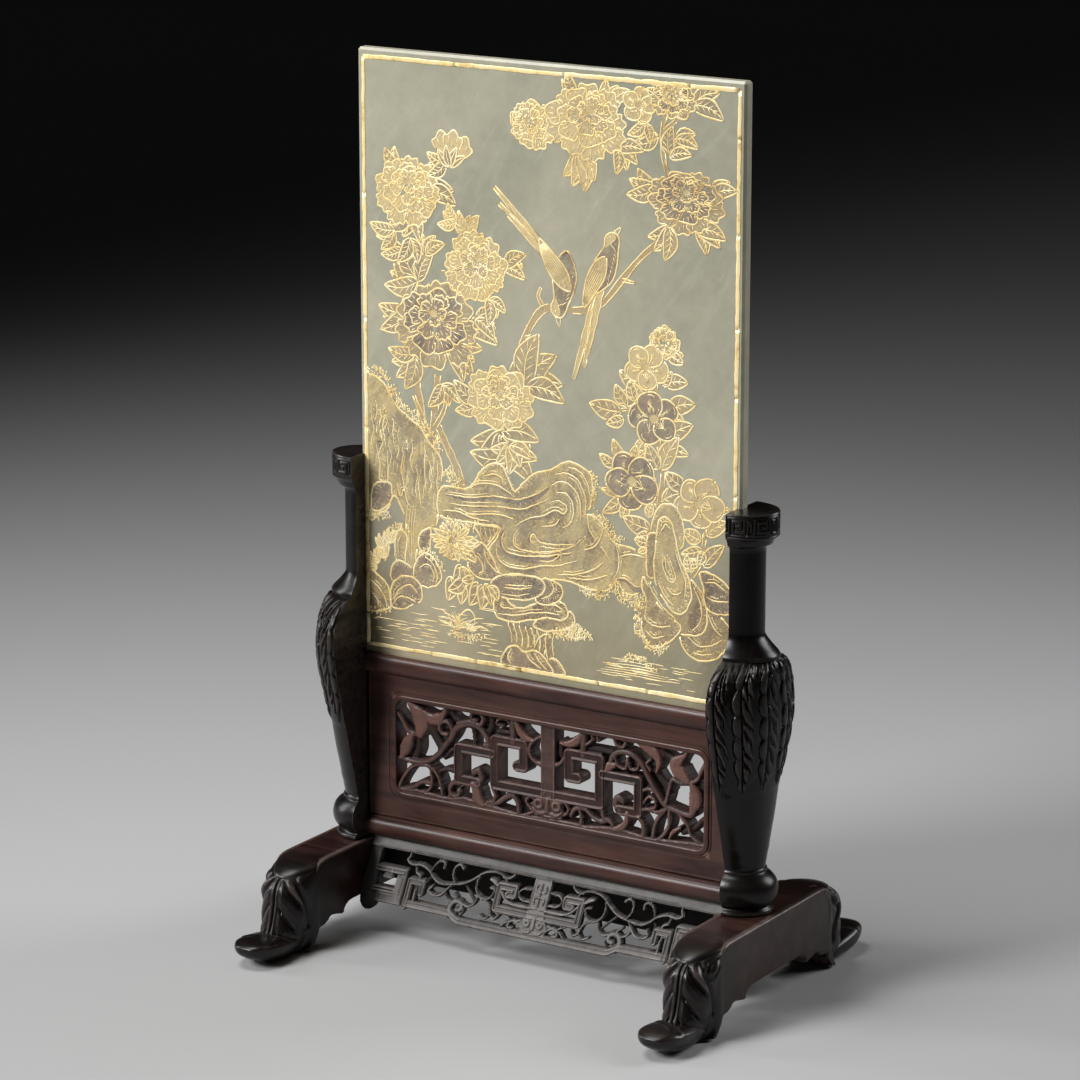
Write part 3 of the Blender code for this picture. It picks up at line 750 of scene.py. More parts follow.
def paintLeftFlowers():
    stems((3.6, 2.2, -45.5, 158, -46.5, 170, -48.8, 182, -50, 193, -48, 206), (3, 2, -41.5, 160, -43.2, 172,
        -42.4, 184, -41.5, 192), (3, 2, -31.8, 155, -35, 163, -39.5, 171, -42, 176), (1.6, 0.9, -47, 176, -51,
        184), (1.6, 0.9, -43, 174, -39, 181, -38.5, 188), (1.5, 0.9, -48.5, 214, -49, 226, -54, 240), (1.3, 0.8,
        -48.5, 222, -46, 230, -43.5, 238), (1.3, 0.9, -40, 226, -30, 226))
    fans((-49, 222, 13, 168, 140, 112, 60, 190), (-53, 212, 12, 196, 176, 214), (-50, 198, 12, 200, 228, 250, 176),
        (-55, 232, 9, 150, 196), (-46, 231, 8, 98, 60, 30), (-37, 200, 12, -12, -38, 10, -60), (-30, 209, 13, 4, -22),
        (-40, 189, 9, -70, -40, 236), (-56, 258, 9, 104, 130), (-46, 252, 13, 4, -18), (-52, 244, 10, 250, 292, 210))
    peony(-53, 251, 13.5, 80, goldTones, 0.86, 11)
    fan(-38, 262, (190, 160, 215), 8)
    bud(-36.5, 260.5, 82, 11.5)
    fan(-29, 238, (90, 66, 116), 9, tone="petalGold")
    fans((-16, 230, 9, 8, -22, 30), (-58, 238, 9, 200, 232, 170), (-52, 236, 9, 262, 290, 240), (-34, 219, 8, 60, 100,
        24), (-27, 212, 9, -10, 16, -40))
    fan(-34, 243, (150, 120, 190), 7, tone="petalGold")
    fan(-22, 219, (-60, -30, -90), 8)
    peony(-27, 229, 12.5, 70, paleTones, 0.9, 12)
    peony(-42.5, 208, 16.5, 100, plumTones, 0.88, 13)


def paintMiddleFlowers():
    stems((1.6, 2.6, 44, 246, 35, 238.5, 28, 230.5, 20, 221.5, 12, 219, 0, 218.5, -6, 212, -9.5, 204, -13, 196), (1.4,
        0.7, -1, 218.5, -3, 222, -2, 225), (1.2, 0.5, 28, 230.5, 33, 230), (1.2, 0.6, -8, 208, -5.5, 209))
    fans((-8, 192, 17, 8, 44, 74, -14), (-25, 185, 11, 178, 202, 150))
    fan(-17, 176, (200, 226, 252, 280, 306, 334, -6), 15, veins=3)
    fan(-15, 168, (215, 322, 180, 2), 13, veins=3)
    fan(-14, 172, (196, 232, 268, 300, 336), 9, tone="petalWash", veins=3)
    peony(-17.5, 186.5, 12.8, 95, paleTones, 0.86, 14)


def paintUpperFlowers():
    stems((1.6, 1.2, 45, 290, 42.5, 280, 43, 270, 46, 262), (1.2, 0.8, 43, 279, 50, 285, 54, 289))
    fans((41, 277, 10, 172, 196), (45, 271, 9, 60, 30, 84, 8), (26, 272, 9, 300, 330, 0, 268))
    fan(12, 270, (236, 258, 280, 302), 12, tone="petalGold")
    fan(23, 285, (64, 96, 34), 9, tone="petalGold")
    fans((11, 288, 8, 142, 116), (36, 281, 7, 250, 286, 214), (47, 277, 9, 14, 342))
    blossom(34, 286.2, 6.6, "petalGold", 19)
    peony(-5, 277, 9.5, 150, goldTones, 0.84, 15, 2)
    peony(14.5, 279.5, 15, 60, paleTones, 0.84, 16)
    fans((53, 288, 11, 0, 24, 340), (45, 291, 9, 150, 176, 120))
    peony(46, 289, 8.2, 100, ("leafWash", "plumWash", "petalGold"), 0.78, 17, 2)
    fans((40, 261, 10, 140, 168, 196), (60, 260, 10, 38, 14), (45, 249, 10, 206, 236, 262), (55, 249, 10, -64, -30,
        -12))
    peony(50.5, 257, 14, 80, plumTones, 0.74, 18)


# where each leaf starts, its direction, length and width
rightLeaves = ((45, 207, 20, 6, 2), (45, 208, -20, 6, 2), (43.6, 201, 150, 6, 1.8), (44, 199, 8, 8.5, 2.6), (43.5,
    198, 60, 6, 1.8), (35, 197, 150, 9, 2.6), (34, 194, 190, 9, 2.8), (36, 192, 120, 7, 2), (45, 191, 14, 10.5, 3.2),
    (45, 189, 340, 7, 2.2), (28, 188, 172, 12, 3.4), (29, 186, 200, 7, 2), (30, 190, 122, 8, 2.2), (33, 192, 106, 7,
    2), (44, 181, 30, 12, 3.2), (45, 178, 352, 8, 2), (36, 180, 240, 7, 2), (43, 171, 62, 13, 3.2), (42, 171, 118, 9,
    2.6), (40, 162, 96, 8, 2.3), (43, 161, 22, 11, 2.8), (36.6, 176, 214, 6, 1.8), (33, 172, 84, 6, 1.8), (29, 172,
    120, 8, 2), (26, 170, 150, 7, 1.8), (29, 161.6, 176, 8.5, 1.5), (29, 160.4, 218, 10, 2.2), (30, 159, 252, 6, 2),
    (38, 155, 70, 5, 1.6), (39.4, 151, 164, 11, 3), (38.6, 149.6, 196, 5, 1.5), (38, 146.4, 170, 5, 1.6), (37.6,
    144.6, 204, 3.5, 1.1), (52, 166, 150, 9, 2.8), (60, 160, 6, 8.5, 2), (59.4, 152, 32, 9.5, 2.6), (58.6, 141.4, 48,
    11, 2.5), (57.6, 150, 158, 7, 2.6), (58, 147, 196, 8, 2), (57, 142.6, 190, 5.5, 1.4), (58.4, 146.6, 250, 5, 1.6),
    (53.5, 139, 100, 6, 1.4), (60, 165, 70, 5, 1.6))


def paintRightFlowers():
    stems((1.9, 1, 42, 158, 43.5, 170, 41.5, 181, 40.5, 196, 43, 208), (1.1, 0.7, 41, 184, 31, 189, 24, 187), (1.5,
        1, 40.5, 158, 38.6, 162, 35, 164.6), (1.5, 1.1, 53.6, 137, 57, 142, 58.6, 149, 59.2, 158))
    for x, z, a, n, w in rightLeaves:
        leaf(x, z, a, n, w, 0.06, "leafWash" if int(x * 7 + a) % 3 else "petalWash", 4)
    peony(43.5, 212, 5.8, 90, ("petalGold", "petalWash", "petalGold"), 0.92, 21, 1)
    blossom(37, 203.6, 8.6, "petalGold", 22)
    blossom(40, 187.2, 10.4, "plumWash", 23, 0.92)
    blossom(32, 166, 10.6, "plumWash", 24, 0.96)
    blossom(57, 162, 9.8, "petalWash", 25, 0.95)


def paintCliff():
    # cliff on the left: mossy head, hanging folds and a tapering column
    mass((-69.6, 143, -65, 142.5, -61.5, 145, -59.5, 149, -57.5, 148, -55, 143, -54, 136, -56, 129, -54.5, 124, -50.5,
        124, -50.5, 131, -47, 138, -43, 140, -41.5, 147, -40.3, 156, -40.5, 164, -45, 169, -49, 174, -54, 177, -59,
        181, -63, 187, -68, 189, -69.6, 186), "rockWash", 31, 1.6)
    fringes((2.1, 0.8, 32, -69, 190, -65, 190.5, -60, 186, -56, 180, -50, 177, -45, 172, -41, 168), (1.5, 0.8, 33,
        -69.5, 142, -65, 141.5, -61, 143))
    mass((-68, 144, -67.5, 151, -64, 153.5, -60.5, 153, -60, 148.5, -62, 145.5, -65, 143.5), "plumWash", 34)
    rng = np.random.default_rng(30)
    for k in range(30):
        x = -67.5 + 26 * (k + rng.uniform(0, 0.8)) / 30
        ceiling = np.interp(x, (-69, -62, -54, -48, -41), (186, 183, 175, 172, 163))
        ground = np.interp(x, (-69, -60, -55, -48, -41), (156, 152, 146, 142, 147))
        top = ceiling - rng.uniform(0, 12)
        low = max(ground + rng.uniform(0, 10), top - rng.uniform(9, 24))
        step, bow = (top - low) / 4, rng.uniform(0.4, 1.3) * (1 if k % 2 else -1)
        fold((x, top, x + bow * 0.5, top - step, x - bow * 0.4, top - 2 * step, x + bow * 0.5, top - 3 * step,
            x + bow * 0.9, low), rng.uniform(0.5, 2.2) if k % 3 else 0, 0.44 if k % 2 else 0.3, 2,
            "plumWash" if k % 5 == 1 else "rockShade", k)
    folds((0, -66, 166, -64.5, 159, -65, 154.5, -62, 153.5, -61.5, 158, -61.5, 164), (1.2, -58, 154, -56.5, 149.5,
        -55, 152, -54, 148, -52, 146))
    for x, low in ((-54.5, 128), (-53.2, 126), (-52.2, 127), (-51.2, 130)):
        fold((x + 0.8, 147, x - 0.2, 139, x, low), 0.8, 0.34, 3, seed=int(-x))
    mass((-49.5, 136.5, -47, 139.5, -44.6, 139.8, -44.8, 135, -46, 132, -48.8, 132), "plumWash", 35)


def paintBoulders():
    # dark boulders and ferns at the foot of the cliff
    fringe((-64, 128, -62, 134, -58, 138.5, -54, 137), 2.4, 0.55, 36)
    for x, z, a in ((-65, 126, 118), (-62, 128, 105), (-66, 124, 140), (-63, 131, 90), (-60, 133, 80), (-67, 121,
            150)):
        fan(x, z, (a, a + 26, a - 24, a + 50), 5.5, width=0.8, tone="petalGold", veins=0)
    mass((-58.5, 128, -58.8, 135, -56.5, 138, -54, 135.5, -54.8, 130, -55.5, 127), "rockWash", 37)
    fold((-57.5, 129, -57.6, 134, -56.3, 136.5), 1, 0.36)
    mass((-60.5, 121, -60, 125.5, -57, 127.6, -53.5, 126.3, -50.5, 123.5, -51, 120, -57, 119), "plumWash", 38)
    mass((-51.5, 122, -51, 127, -48.5, 130.5, -45, 131, -41.5, 127.5, -40.8, 123.5, -43.5, 120.6, -48, 120),
        "plumWash", 39)
    fold((-42.8, 121.6, -42.3, 125, -44.5, 128.8, -47, 130.2), 0, 0.5, 2)
    fold((-44, 122, -43.6, 125, -46, 127.8, -49.5, 126), 1.2, 0.4, 2)
    fringe((-49.5, 131.5, -46, 132.3, -42.5, 130, -40.5, 126), 1.4, 0.8, 40)
    mass((-60.8, 114, -60, 119, -57, 121.8, -52, 122.5, -48.6, 119.5, -48.6, 115, -51.5, 113.4, -55, 111.5, -59.5,
        111), "plumWash", 41)
    fold((-59.8, 113, -57.5, 117.5, -53, 119.8, -49.6, 117), 1.6, 0.5, 1)
    fold((-60.2, 112.2, -57, 115.2, -53, 115, -50.4, 113.9), 1.4, 0.5, 1)
    mass((-69.6, 109.5, -69.6, 122, -66, 121.5, -62.5, 119, -61, 114, -61.5, 110.5), "rockShade", 42)
    fold((-69, 119.5, -65.5, 117, -63, 113.5, -62.5, 110.5), 2, 0.5, 1)
    fold((-68, 115, -66, 112.5, -66, 110), 1.6, 0.4, 1)
    fringe((-69, 109.4, -65, 109, -61, 110), 1.1, 0.9, 43)


def paintMiddleRock():
    # long swirling rock across the middle, with a hump and an overhang to the right
    mass((-41, 145, -42, 151, -39.5, 155, -34, 155.2, -30.5, 155.3, -27.5, 158, -25, 162, -21.5, 164.8, -17.5, 165,
        -14.8, 161.5, -12, 157, -9, 160, -4, 164, 2, 166, 7, 169, 12, 168.8, 16.8, 166, 17.6, 160, 16.6, 155.5, 15.2,
        153, 19, 152.2, 22.5, 148.6, 26, 144.8, 32, 144, 37, 142.6, 40, 139, 39, 133, 35, 129.6, 30, 128.8, 26.5,
        132.5, 23, 128.8, 16, 128.2, 8, 129.8, -2, 129.2, -12, 129.4, -18, 128, -20, 133, -22, 136.4, -19.5, 139.5,
        -18, 144, -26, 144.2, -34, 144.3), "rockWash", 44, 1.5)
    sweeps = [(1.6, -30, 155.5, -26, 157.6, -20, 158.2, -15, 156.6, -12, 154.6), (1.4, -24, 160.5, -20, 161.6, -17,
        160.6, -16.8, 158.4), (2.6, -39, 152.5, -30, 152.6, -20, 154.2, -11, 154.4, -4, 157, 2, 161), (1.2, -33,
        146.6, -26, 147.4, -18, 148.4, -12, 147.6), (1.6, -37, 149.6, -28, 149.8, -18, 151, -10, 151.2, -4, 153.6, 1,
        156), (1, -40, 147, -34, 147.2, -28, 145.8, -21, 145.6), (1.4, -12.4, 145.2, -7, 148.4, -1, 150.4, 3, 152.6,
        6.8, 152, 7.6, 154.4, 4.5, 156, 1, 154.6), (1.8, 15, 146, 12, 143, 5, 141.4, -2, 141.2, -5, 143.6, -6, 141.4,
        -4, 139.8), (1.6, -11, 144.4, -12.6, 141, -11.6, 138.4, -6, 137.6, 1, 138.6, 9, 141, 14, 145), (2.6, -15.4,
        143.8, -17, 140.2, -15.4, 136.6, -9, 135.8, -4, 136.4, 4, 138, 10, 139.4), (0.8, -5, 136.2, 0, 136.8, 5,
        138.2, 2, 135.6, -3, 134.9), (1.6, -19, 138.5, -18.6, 134, -15, 131.6, -8, 131.6, -2, 133.4, 5, 134.6, 12,
        137.2), (2, 14.6, 152, 14.8, 158, 12, 163.6, 7.5, 165.4, 3, 164.4), (1.2, 13, 149, 12.6, 157, 9.6, 161.4, 5,
        162.4, 1, 160), (0.9, 16.6, 158, 15.6, 163, 12.6, 166.6, 8, 167.6), (1.8, 6, 147, 9.6, 150, 10.2, 155, 7.6,
        158.6, 3.6, 158.6), (1.2, -2, 146.6, 3, 147.6, 5, 150), (1.8, 15.4, 152.6, 16.4, 148, 19, 144.6, 22, 141.6,
        24.6, 137.5), (1, 14, 141, 18, 142.6, 20.5, 146, 21.5, 149), (2, 26.2, 144.6, 27.4, 139.6, 26.6, 135,
        23.6, 131.6), (1, 27.6, 140.6, 32, 142, 37.5, 141.4), (2.4, 26.6, 133.4, 30, 133.6, 34, 131.6, 38.4, 132.4),
        (1.4, 4, 131.4, 11, 132.4, 17, 134.6, 22, 138), (1.2, 8, 131, 15, 131.2, 20, 132.6, 23.4, 134)]
    for k, (deep, *points) in enumerate(sweeps):
        fold(points, deep, 0.5, 2, "plumWash" if deep > 2.2 else "rockShade", seed=k)
    fringes((1.5, 0.7, 45, 17.5, 167, 18.6, 162, 17.6, 156), (1.7, 0.6, 46, 19, 153.6, 22.5, 151, 25, 147.5, 29,
        145.5), (2, 0.55, 47, 14, 127.8, 18, 127, 23, 127.6), (2.4, 0.5, 48, 25.5, 131.5, 28, 128, 31.5, 126.2, 36,
        127.4), (1.7, 0.6, 49, -41, 144, -38, 143.4, -34, 143.2, -29, 142.8, -26, 143.4), (1.6, 0.7, 50, -39, 159,
        -36, 161, -37, 157, -33, 157))
    mass((-27.5, 143.6, -25.2, 140, -23.4, 136.8, -20.4, 140, -18.6, 143.6, -23, 144), "rockShade", 51)
    for x in (-25.5, -23.8, -22, -20.4):
        fold((x, 143.4, x + 0.8, 140.6, -22.6, 138.6), 0, 0.32, 0)


def paintPedestal():
    # stacked stones under the overhang, standing in the water on three hatched legs
    mass((-30.2, 130, -29, 135, -26, 138, -23, 136.8, -20.6, 133, -18.6, 129.4, -16.6, 128, -20, 126.6, -25, 125.8,
        -28.6, 127.4), "plumWash", 52)
    folds((1, -28.6, 130, -27.4, 133.4, -25, 131.6, -24.4, 128.6, -26, 127.6), (1.8, -24, 136, -22.8, 132.6, -20,
        129.6, -17.4, 128.4))
    for x, top in ((-13.6, 113), (-11.6, 113), (-9.4, 112.6), (-7, 112.6), (-4.8, 112.6), (-2.6, 112)):
        stem((x, top, x + 1.4, 108, x + 0.6, 102), 2.4, 1.8, "rockShade")
    stem((1.6, 112, 1, 108, 1.8, 102), 2.8, 2.6, "rockShade")
    fold((-5, 103, -3.6, 108, -1, 110.4, 2, 111), 0)
    mass((-2.5, 115.5, 5.5, 117.6, 9, 119.6, 11, 117.4, 9.6, 114.6, 6, 113, 0, 111.8, -5, 112.8), "rockShade", 53)
    mass((-20, 115.5, -20, 120, -16, 120.8, -12.6, 118.4, -8, 118.4, -4.6, 120.4, 0, 121.4, 3.4, 122.8, 7.2, 121.4,
        8.2, 118.4, 6, 116.4, 0, 116.2, -6, 114.6, -13, 113, -18, 113.4), "rockShade", 54)
    folds((1.2, -19, 115, -12, 115.4, -6, 117, 0, 118, 5.5, 118), (0.8, -17, 119.6, -17.4, 117.6, -14, 117.4, -11,
        118.2), (1.2, 0.4, 120.4, 3.6, 121, 6, 119.6, 3.6, 118.8))
    mass((-2, 128.8, 2, 129.2, 5.8, 127.4, 5.6, 123.6, 2, 121.2, -3, 120.6, -4, 124), "plumWash", 55)
    fold((1.6, 129, 2.8, 126.4, 1.4, 124, -2, 122.4), 1.2)
    mass((-20.6, 121.6, -21.2, 124.6, -19, 127.4, -12, 129, -4.6, 129.4, -1, 128, -0.8, 125.4, -4, 122.6, -9, 121,
        -16, 120.6), "plumWash", 56)
    fold((-16.4, 124.2, -11, 124.4, -5.4, 125.6), 0.9)
    fold((-16, 125.2, -10, 125.6, -5, 126.4), 0, 0.4, 2)
    fold((-18.6, 122, -12, 122, -6, 123.6), 0.8, 0.36, 2)
    for z, x0, x1 in ((115.6, 10.5, 12), (114.4, 9.5, 14), (113.2, 6.5, 16), (112.2, 3.5, 18), (111.2, 2, 14)):
        fringe((x0, z, x1, z - 0.2), 1.2, 0.7, int(z))
    mass((0.4, 98.1, 1.6, 102.6, 4.4, 102.4, 6.6, 100, 7, 98.1), "plumWash", 57)
    mass((-16.8, 98.1, -15.6, 103.2, -12, 105.2, -8.4, 103.6, -4.6, 104.6, -0.6, 102.6, 2.4, 98.2, -6, 98),
        "plumWash", 58)
    folds((1.2, -8, 103.6, -6, 101, -1.6, 98.8), (1.2, -13.4, 104.2, -14.8, 101, -13.6, 98.6), (0.9, -4.6, 103.8,
        -2.6, 101, 0.6, 98.6))


def paintRightRocks():
    # upright stones on the right, the tallest in front
    mass((50, 120, 51.4, 114, 56, 110.8, 62, 111.4, 66.4, 115, 68.6, 122, 65, 126, 60, 130, 54, 126), "rockShade", 59,
        1.4)
    folds((1.6, 53, 118, 57, 115.4, 62, 116.4, 66, 119), (1.6, 60, 127, 62.6, 122, 66, 119.6), (1, 55, 113, 58,
        112.6, 62, 113.4))
    mass((57, 139.4, 61, 139.8, 66, 137.6, 69, 134, 69, 128, 62, 127, 59, 130, 58.6, 135), "plumWash", 60)
    folds((1.6, 59, 136.6, 63, 136.8, 67, 134.4), (1.4, 59.6, 132, 63, 131, 68, 131.6))
    mass((53, 136.4, 56.6, 134.6, 59, 130.6, 60.2, 124.6, 58.2, 119.6, 53, 118.4, 47, 119, 44, 123, 48, 130),
        "rockShade", 61, 1.3)
    fold((55, 134.6, 57.6, 129, 57.6, 123.6, 54.4, 119.8), 1.8)
    mass((36.6, 135.4, 39, 131, 42, 127, 46, 123.6, 50.4, 121, 48.6, 117.4, 44.6, 114, 41, 112.4, 37.6, 114.4, 36,
        118.4, 36.4, 124, 37.6, 128, 36, 131), "rockShade", 62, 1.4)
    folds((1.8, 38, 127.4, 37.2, 122, 39.6, 120, 43, 119.6, 47, 120.6), (1.4, 38.4, 133.6, 41, 129.4, 45.4, 125, 49.6,
        122.6), (1.4, 37.6, 117.6, 40.6, 115.6, 44.6, 117))
    fringe((36, 126, 34.6, 121, 34.8, 117, 37.4, 113.4, 41.4, 111.4, 45, 113.4), 1.7, 0.6, 63)
    mass((39.6, 149, 40.4, 156, 43.6, 160, 47.6, 160, 50.4, 156.4, 51.4, 151, 50, 146, 44, 145), "rockWash", 64)
    mass((38, 149, 37.6, 141, 38.2, 136, 40.8, 135.6, 41.6, 142, 41, 149.6), "rockShade", 65)
    mass((41.2, 148, 41.8, 153.6, 44, 156, 46.8, 154.2, 48.4, 148.6, 50, 143, 52.8, 138, 54.2, 132, 52.8, 127, 49.4,
        124.8, 46, 126.6, 42.2, 131.6, 40.5, 137, 40.6, 143), "rockWash", 66, 1.8)
    fold((43.6, 143.6, 43.8, 139.6, 45.4, 136, 47.4, 135, 48.2, 137, 46.8, 141, 45.2, 143.8), 0, 0.5)
    fold((44.6, 142.4, 45, 139, 46.8, 136.4), 1.3, 0.4, 0, "plumWash")
    fold((45.6, 142, 46.4, 139.4, 47.4, 137.4), 0, 0.34, 0)
    folds((1.2, 42.6, 150.6, 44.6, 153.6, 46.4, 152), (1.5, 48, 146, 50, 140.6, 52, 135.6, 51.6, 130), (1.5, 42, 134,
        44.6, 130, 48, 127), (1.2, 45, 133, 48, 131, 50.6, 132))


def paintFoot():
    # leaves and a daisy under the rock, grass, and ripples on the water
    for x, z, a, n in ((-38.5, 131.8, 6, 7.5), (-33, 129.6, 248, 7.5), (-32.4, 129, 276, 7.5), (-32, 134, 330, 6),
            (-31, 135.6, 20, 6), (-37, 125, 262, 8.5), (-33.6, 123.4, 275, 7.5), (-31.5, 124.6, 215, 8), (-26.6,
            124.6, 250, 9), (-25, 124, 270, 8.5), (-23.6, 124.4, 290, 7.5), (-28, 126, 200, 5), (-22, 124, 305, 6)):
        leaf(x, z, a, n, n * 0.3, tone="leafWash", veins=3)
    fringe((-30, 137, -27.4, 139), 1.3, 0.6, 67)
    daisy(-36, 136.8, 7.4, 68)
    grass(-35, 106.5, 7, 26, 69)
    grass(-28, 107, 5, 16, 70)
    line((-34.4, 107.6, -33.4, 112, -30.2, 114.6, -27.8, 113, -27.6, 110.2), 0.6)
    line((-32, 108, -28, 111.6, -24, 112.4), 0.4)
    line((-31, 107.6, -26, 109.6, -22, 108.6), 0.4)
    line((-36, 108, -38, 111.6, -41, 113.4), 0.4)
    fringe((-37, 105.6, -30, 105, -24, 106), 1.2, 0.9, 71)
    ripples(-50, -18, 100.5, 116, 46, 72)
    for k, z in enumerate((101.6, 102.4, 103.2, 104, 105, 106, 107.2, 108.4)):
        half = 15 - 1.6 * k
        line((34 - half, z, 34, z + 0.3, 34 + half, z), 0.26, steps=3)
    fringe((30, 107, 34, 108.4, 38, 106.6, 41, 105), 1.2, 0.8, 73)
    ripples(24, 56, 100, 107, 30, 74)
    ripples(-67, -44, 99, 107, 24, 75)


def paintBirds():
    bird(7, 230, -96, 13, 37, 139, -50, 81, -1)
    bird(21, 232, 66, 12.5, 37, 256, 62, 82)


def paintBorder():
    b, lo, hi = (picture["border"], picture["borderLow"], picture["borderHigh"])
    rng = np.random.default_rng(90)
    for (x0, z0), (x1, z1) in (((-b, lo), (b, lo)), ((b, lo), (b, hi)), ((b, hi), (-b, hi)), ((-b, hi), (-b, lo))):
        length = math.hypot(x1 - x0, z1 - z0)
        at = 0.0
        while at < length - 1:
            run = min(rng.uniform(14, 46), length - at)
            pts = []
            for s in np.linspace(at, at + run, max(3, int(run / 3))):
                f = s / length
                pts.append((x0 + (x1 - x0) * f + rng.uniform(-0.12, 0.12), z0 + (z1 - z0) * f + rng.uniform(-0.12,
                    0.12)))
            line(pts, rng.uniform(1.25, 1.6), steps=2, taper=0.9)
            at += run + (rng.uniform(0, 0.7) if rng.uniform() < 0.15 else -0.4)


def hideCovered():
    # what is painted later covers the lines below it; nothing runs past the border
    boxes = [(order, p.min(0), p.max(0), p) for order, level, p, tone, strip in art["washes"]]
    kept = []
    for number, level, path, width, taper in art["lines"]:
        x, z = path.T
        lo, hi = path.min(0), path.max(0)
        inside = (z > picture["borderLow"] - 0.8) & (z < picture["borderHigh"] + 0.8)
        show = (np.abs(x) < picture["border"] + 0.7) & inside
        for order, a, b, poly in boxes:
            if order > number and (a <= hi).all() and (b >= lo).all():
                show &= ~insidePolygon(x, z, poly)
        run = []
        for k, seen in enumerate(show):
            if seen:
                run.append(path[k])
            if not seen or k == len(path) - 1:
                if len(run) > 1:
                    kept.append((np.array(run), width, taper, level))
                run = []
    return kept


def lineMesh(name, runs, material):
    # each stroke is a low flat-topped ribbon, standing just proud of the wash below it
    verts, faces = [], []
    for number, (path, width, taper, level) in enumerate(runs):
        side = pathSides(path)[1]
        t = np.linspace(-1, 1, len(path))
        half = width / 2 * (taper + (1 - taper) * (1 - t ** 4))
        half = half * (1 + 0.24 * waveNoise(path[:, 0], path[:, 1], 1.4, number % 7))
        first = len(verts)
        low = picture["face"] + 0.01
        top = picture["face"] - picture["washBase"] - picture["washStep"] * level - picture["lineRise"]
        top -= 0.0009 * (number % 11)
        for p, s, h in zip(path, side, half):
            verts += [(p[0] + s[0] * h * f, y, p[1] + s[1] * h * f) for f, y in ((1.1, low), (0.7, top), (-0.7, top),
                                                                                 (-1.1, low))]
        for a in range(first, first + 4 * len(path) - 4, 4):
            faces += [(a + i, a + (i + 1) % 4, a + 4 + (i + 1) % 4, a + 4 + i) for i in range(4)]
        end = first + 4 * (len(path) - 1)
        faces += [(first, first + 3, first + 2, first + 1), (end, end + 1, end + 2, end + 3)]
    settle(addMesh(name, verts, faces, material), "serpentine")
    print(name, len(faces), "faces")


def washMesh(tone, material):
    verts, faces = [], []
    limit, face = picture["border"], picture["face"]
    for order, level, poly, its, strip in art["washes"]:
        if its != tone:
            continue
        poly = np.column_stack([np.clip(poly[:, 0], -limit, limit),
                                np.clip(poly[:, 1], picture["borderLow"], picture["borderHigh"])])
        if not strip:
            poly = poly[[k for k in range(len(poly)) if np.hypot(*(poly[k] - poly[k - 1])) > 0.02]]
            area = np.sum(poly[:, 0] * np.roll(poly[:, 1], -1) - np.roll(poly[:, 0], -1) * poly[:, 1])
            if len(poly) < 3 or abs(area) < 0.5:
                continue
            if area < 0:
                poly = poly[::-1]
        n, first = len(poly), len(verts)
        y = face - picture["washBase"] - picture["washStep"] * level
        verts += [(x, y, z) for x, z in poly] + [(x, face + 0.01, z) for x, z in poly]
        cells = [(k + 1, k, n - 1 - k, n - 2 - k) for k in range(n // 2 - 1)] if strip else [tuple(range(n))]
        faces += [tuple(first + k for k in cell) for cell in cells]
        faces += [tuple(first + n + k for k in reversed(cell)) for cell in cells]
        for k in range(n):
            a, b = (k, (k + 1) % n) if strip else ((k + 1) % n, k)
            faces.append((first + a, first + b, first + n + b, first + n + a))
    if faces:
        settle(addMesh(tone, verts, faces, material, 30), "serpentine")


giltLook = dict(bright=(0.92, 0.7, 0.3), pale=(1.0, 0.86, 0.52), dull=(0.5, 0.32, 0.13), metal=0.18, rough=0.34)


def giltMaterial():
    look = giltLook
    material, tree, shader = newMaterial("gilt")
    thin = noise(stretched(tree), 210, 4, 0.65)
    patch = noise(stretched(tree), 28, 3, 0.5)
    wear = plus(times(thin, 0.65), times(patch, 0.35))
    feed(shader["Base Color"], ramp(wear, (0.34, look["dull"]), (0.46, look["bright"]), (0.62, look["pale"])))
    feed(shader["Roughness"], ramp(thin, (0.3, look["rough"] + 0.2), (0.6, look["rough"])))
    shader["Metallic"].default_value = look["metal"]
    return material


washTones = {
    "petalGold": dict(wash=(0.76, 0.56, 0.25), amount=0.9, sheen=0.15, hatch=0.45, gild=0.55),
    "petalWash": dict(wash=(0.6, 0.43, 0.19), amount=0.8, sheen=0.1, hatch=0.4, gild=0.45),
    "leafWash": dict(wash=(0.46, 0.32, 0.145), amount=0.74, hatch=0.35, gild=0.35, under=(0.24, 0.155, 0.08)),
    "plumWash": dict(wash=(0.25, 0.16, 0.115), amount=0.84, hatch=0.25, gild=0.32, under=(0.105, 0.064, 0.06)),
    "stemWash": dict(wash=(0.46, 0.3, 0.13), amount=0.8, hatch=0.3, gild=0.4),
    "rockWash": dict(wash=(0.54, 0.405, 0.18), amount=0.88, sheen=0.05, hatch=0.25, gild=0.5,
                     under=(0.26, 0.185, 0.098)),
    "rockShade": dict(wash=(0.37, 0.265, 0.13), amount=0.88, hatch=0.25, gild=0.42, under=(0.155, 0.1, 0.068)),
    "featherWash": dict(wash=(0.22, 0.145, 0.095), amount=0.86, hatch=0.3, gild=0.35, under=(0.09, 0.052, 0.05)),
}


def paintPicture():
    for paint in (paintLeftFlowers, paintMiddleFlowers, paintUpperFlowers, paintCliff, paintBoulders, paintMiddleRock,
                  paintPedestal, paintRightFlowers, paintRightRocks, paintFoot, paintBirds, paintBorder):
        paint()
    runs = hideCovered()
    gilt = giltMaterial()
    for name, low, high in (("giltOutlines", 0.5, 9), ("giltFineLines", 0.35, 0.5), ("giltVeins", 0, 0.35)):
        lineMesh(name, [r for r in runs if low < r[1] <= high], gilt)
    for tone, look in washTones.items():
        washMesh(tone, stoneMaterial(tone, rough=0.36, **look))
    print("picture painted:", len(art["washes"]), "washes,", len(runs), "lines")


paintPicture()

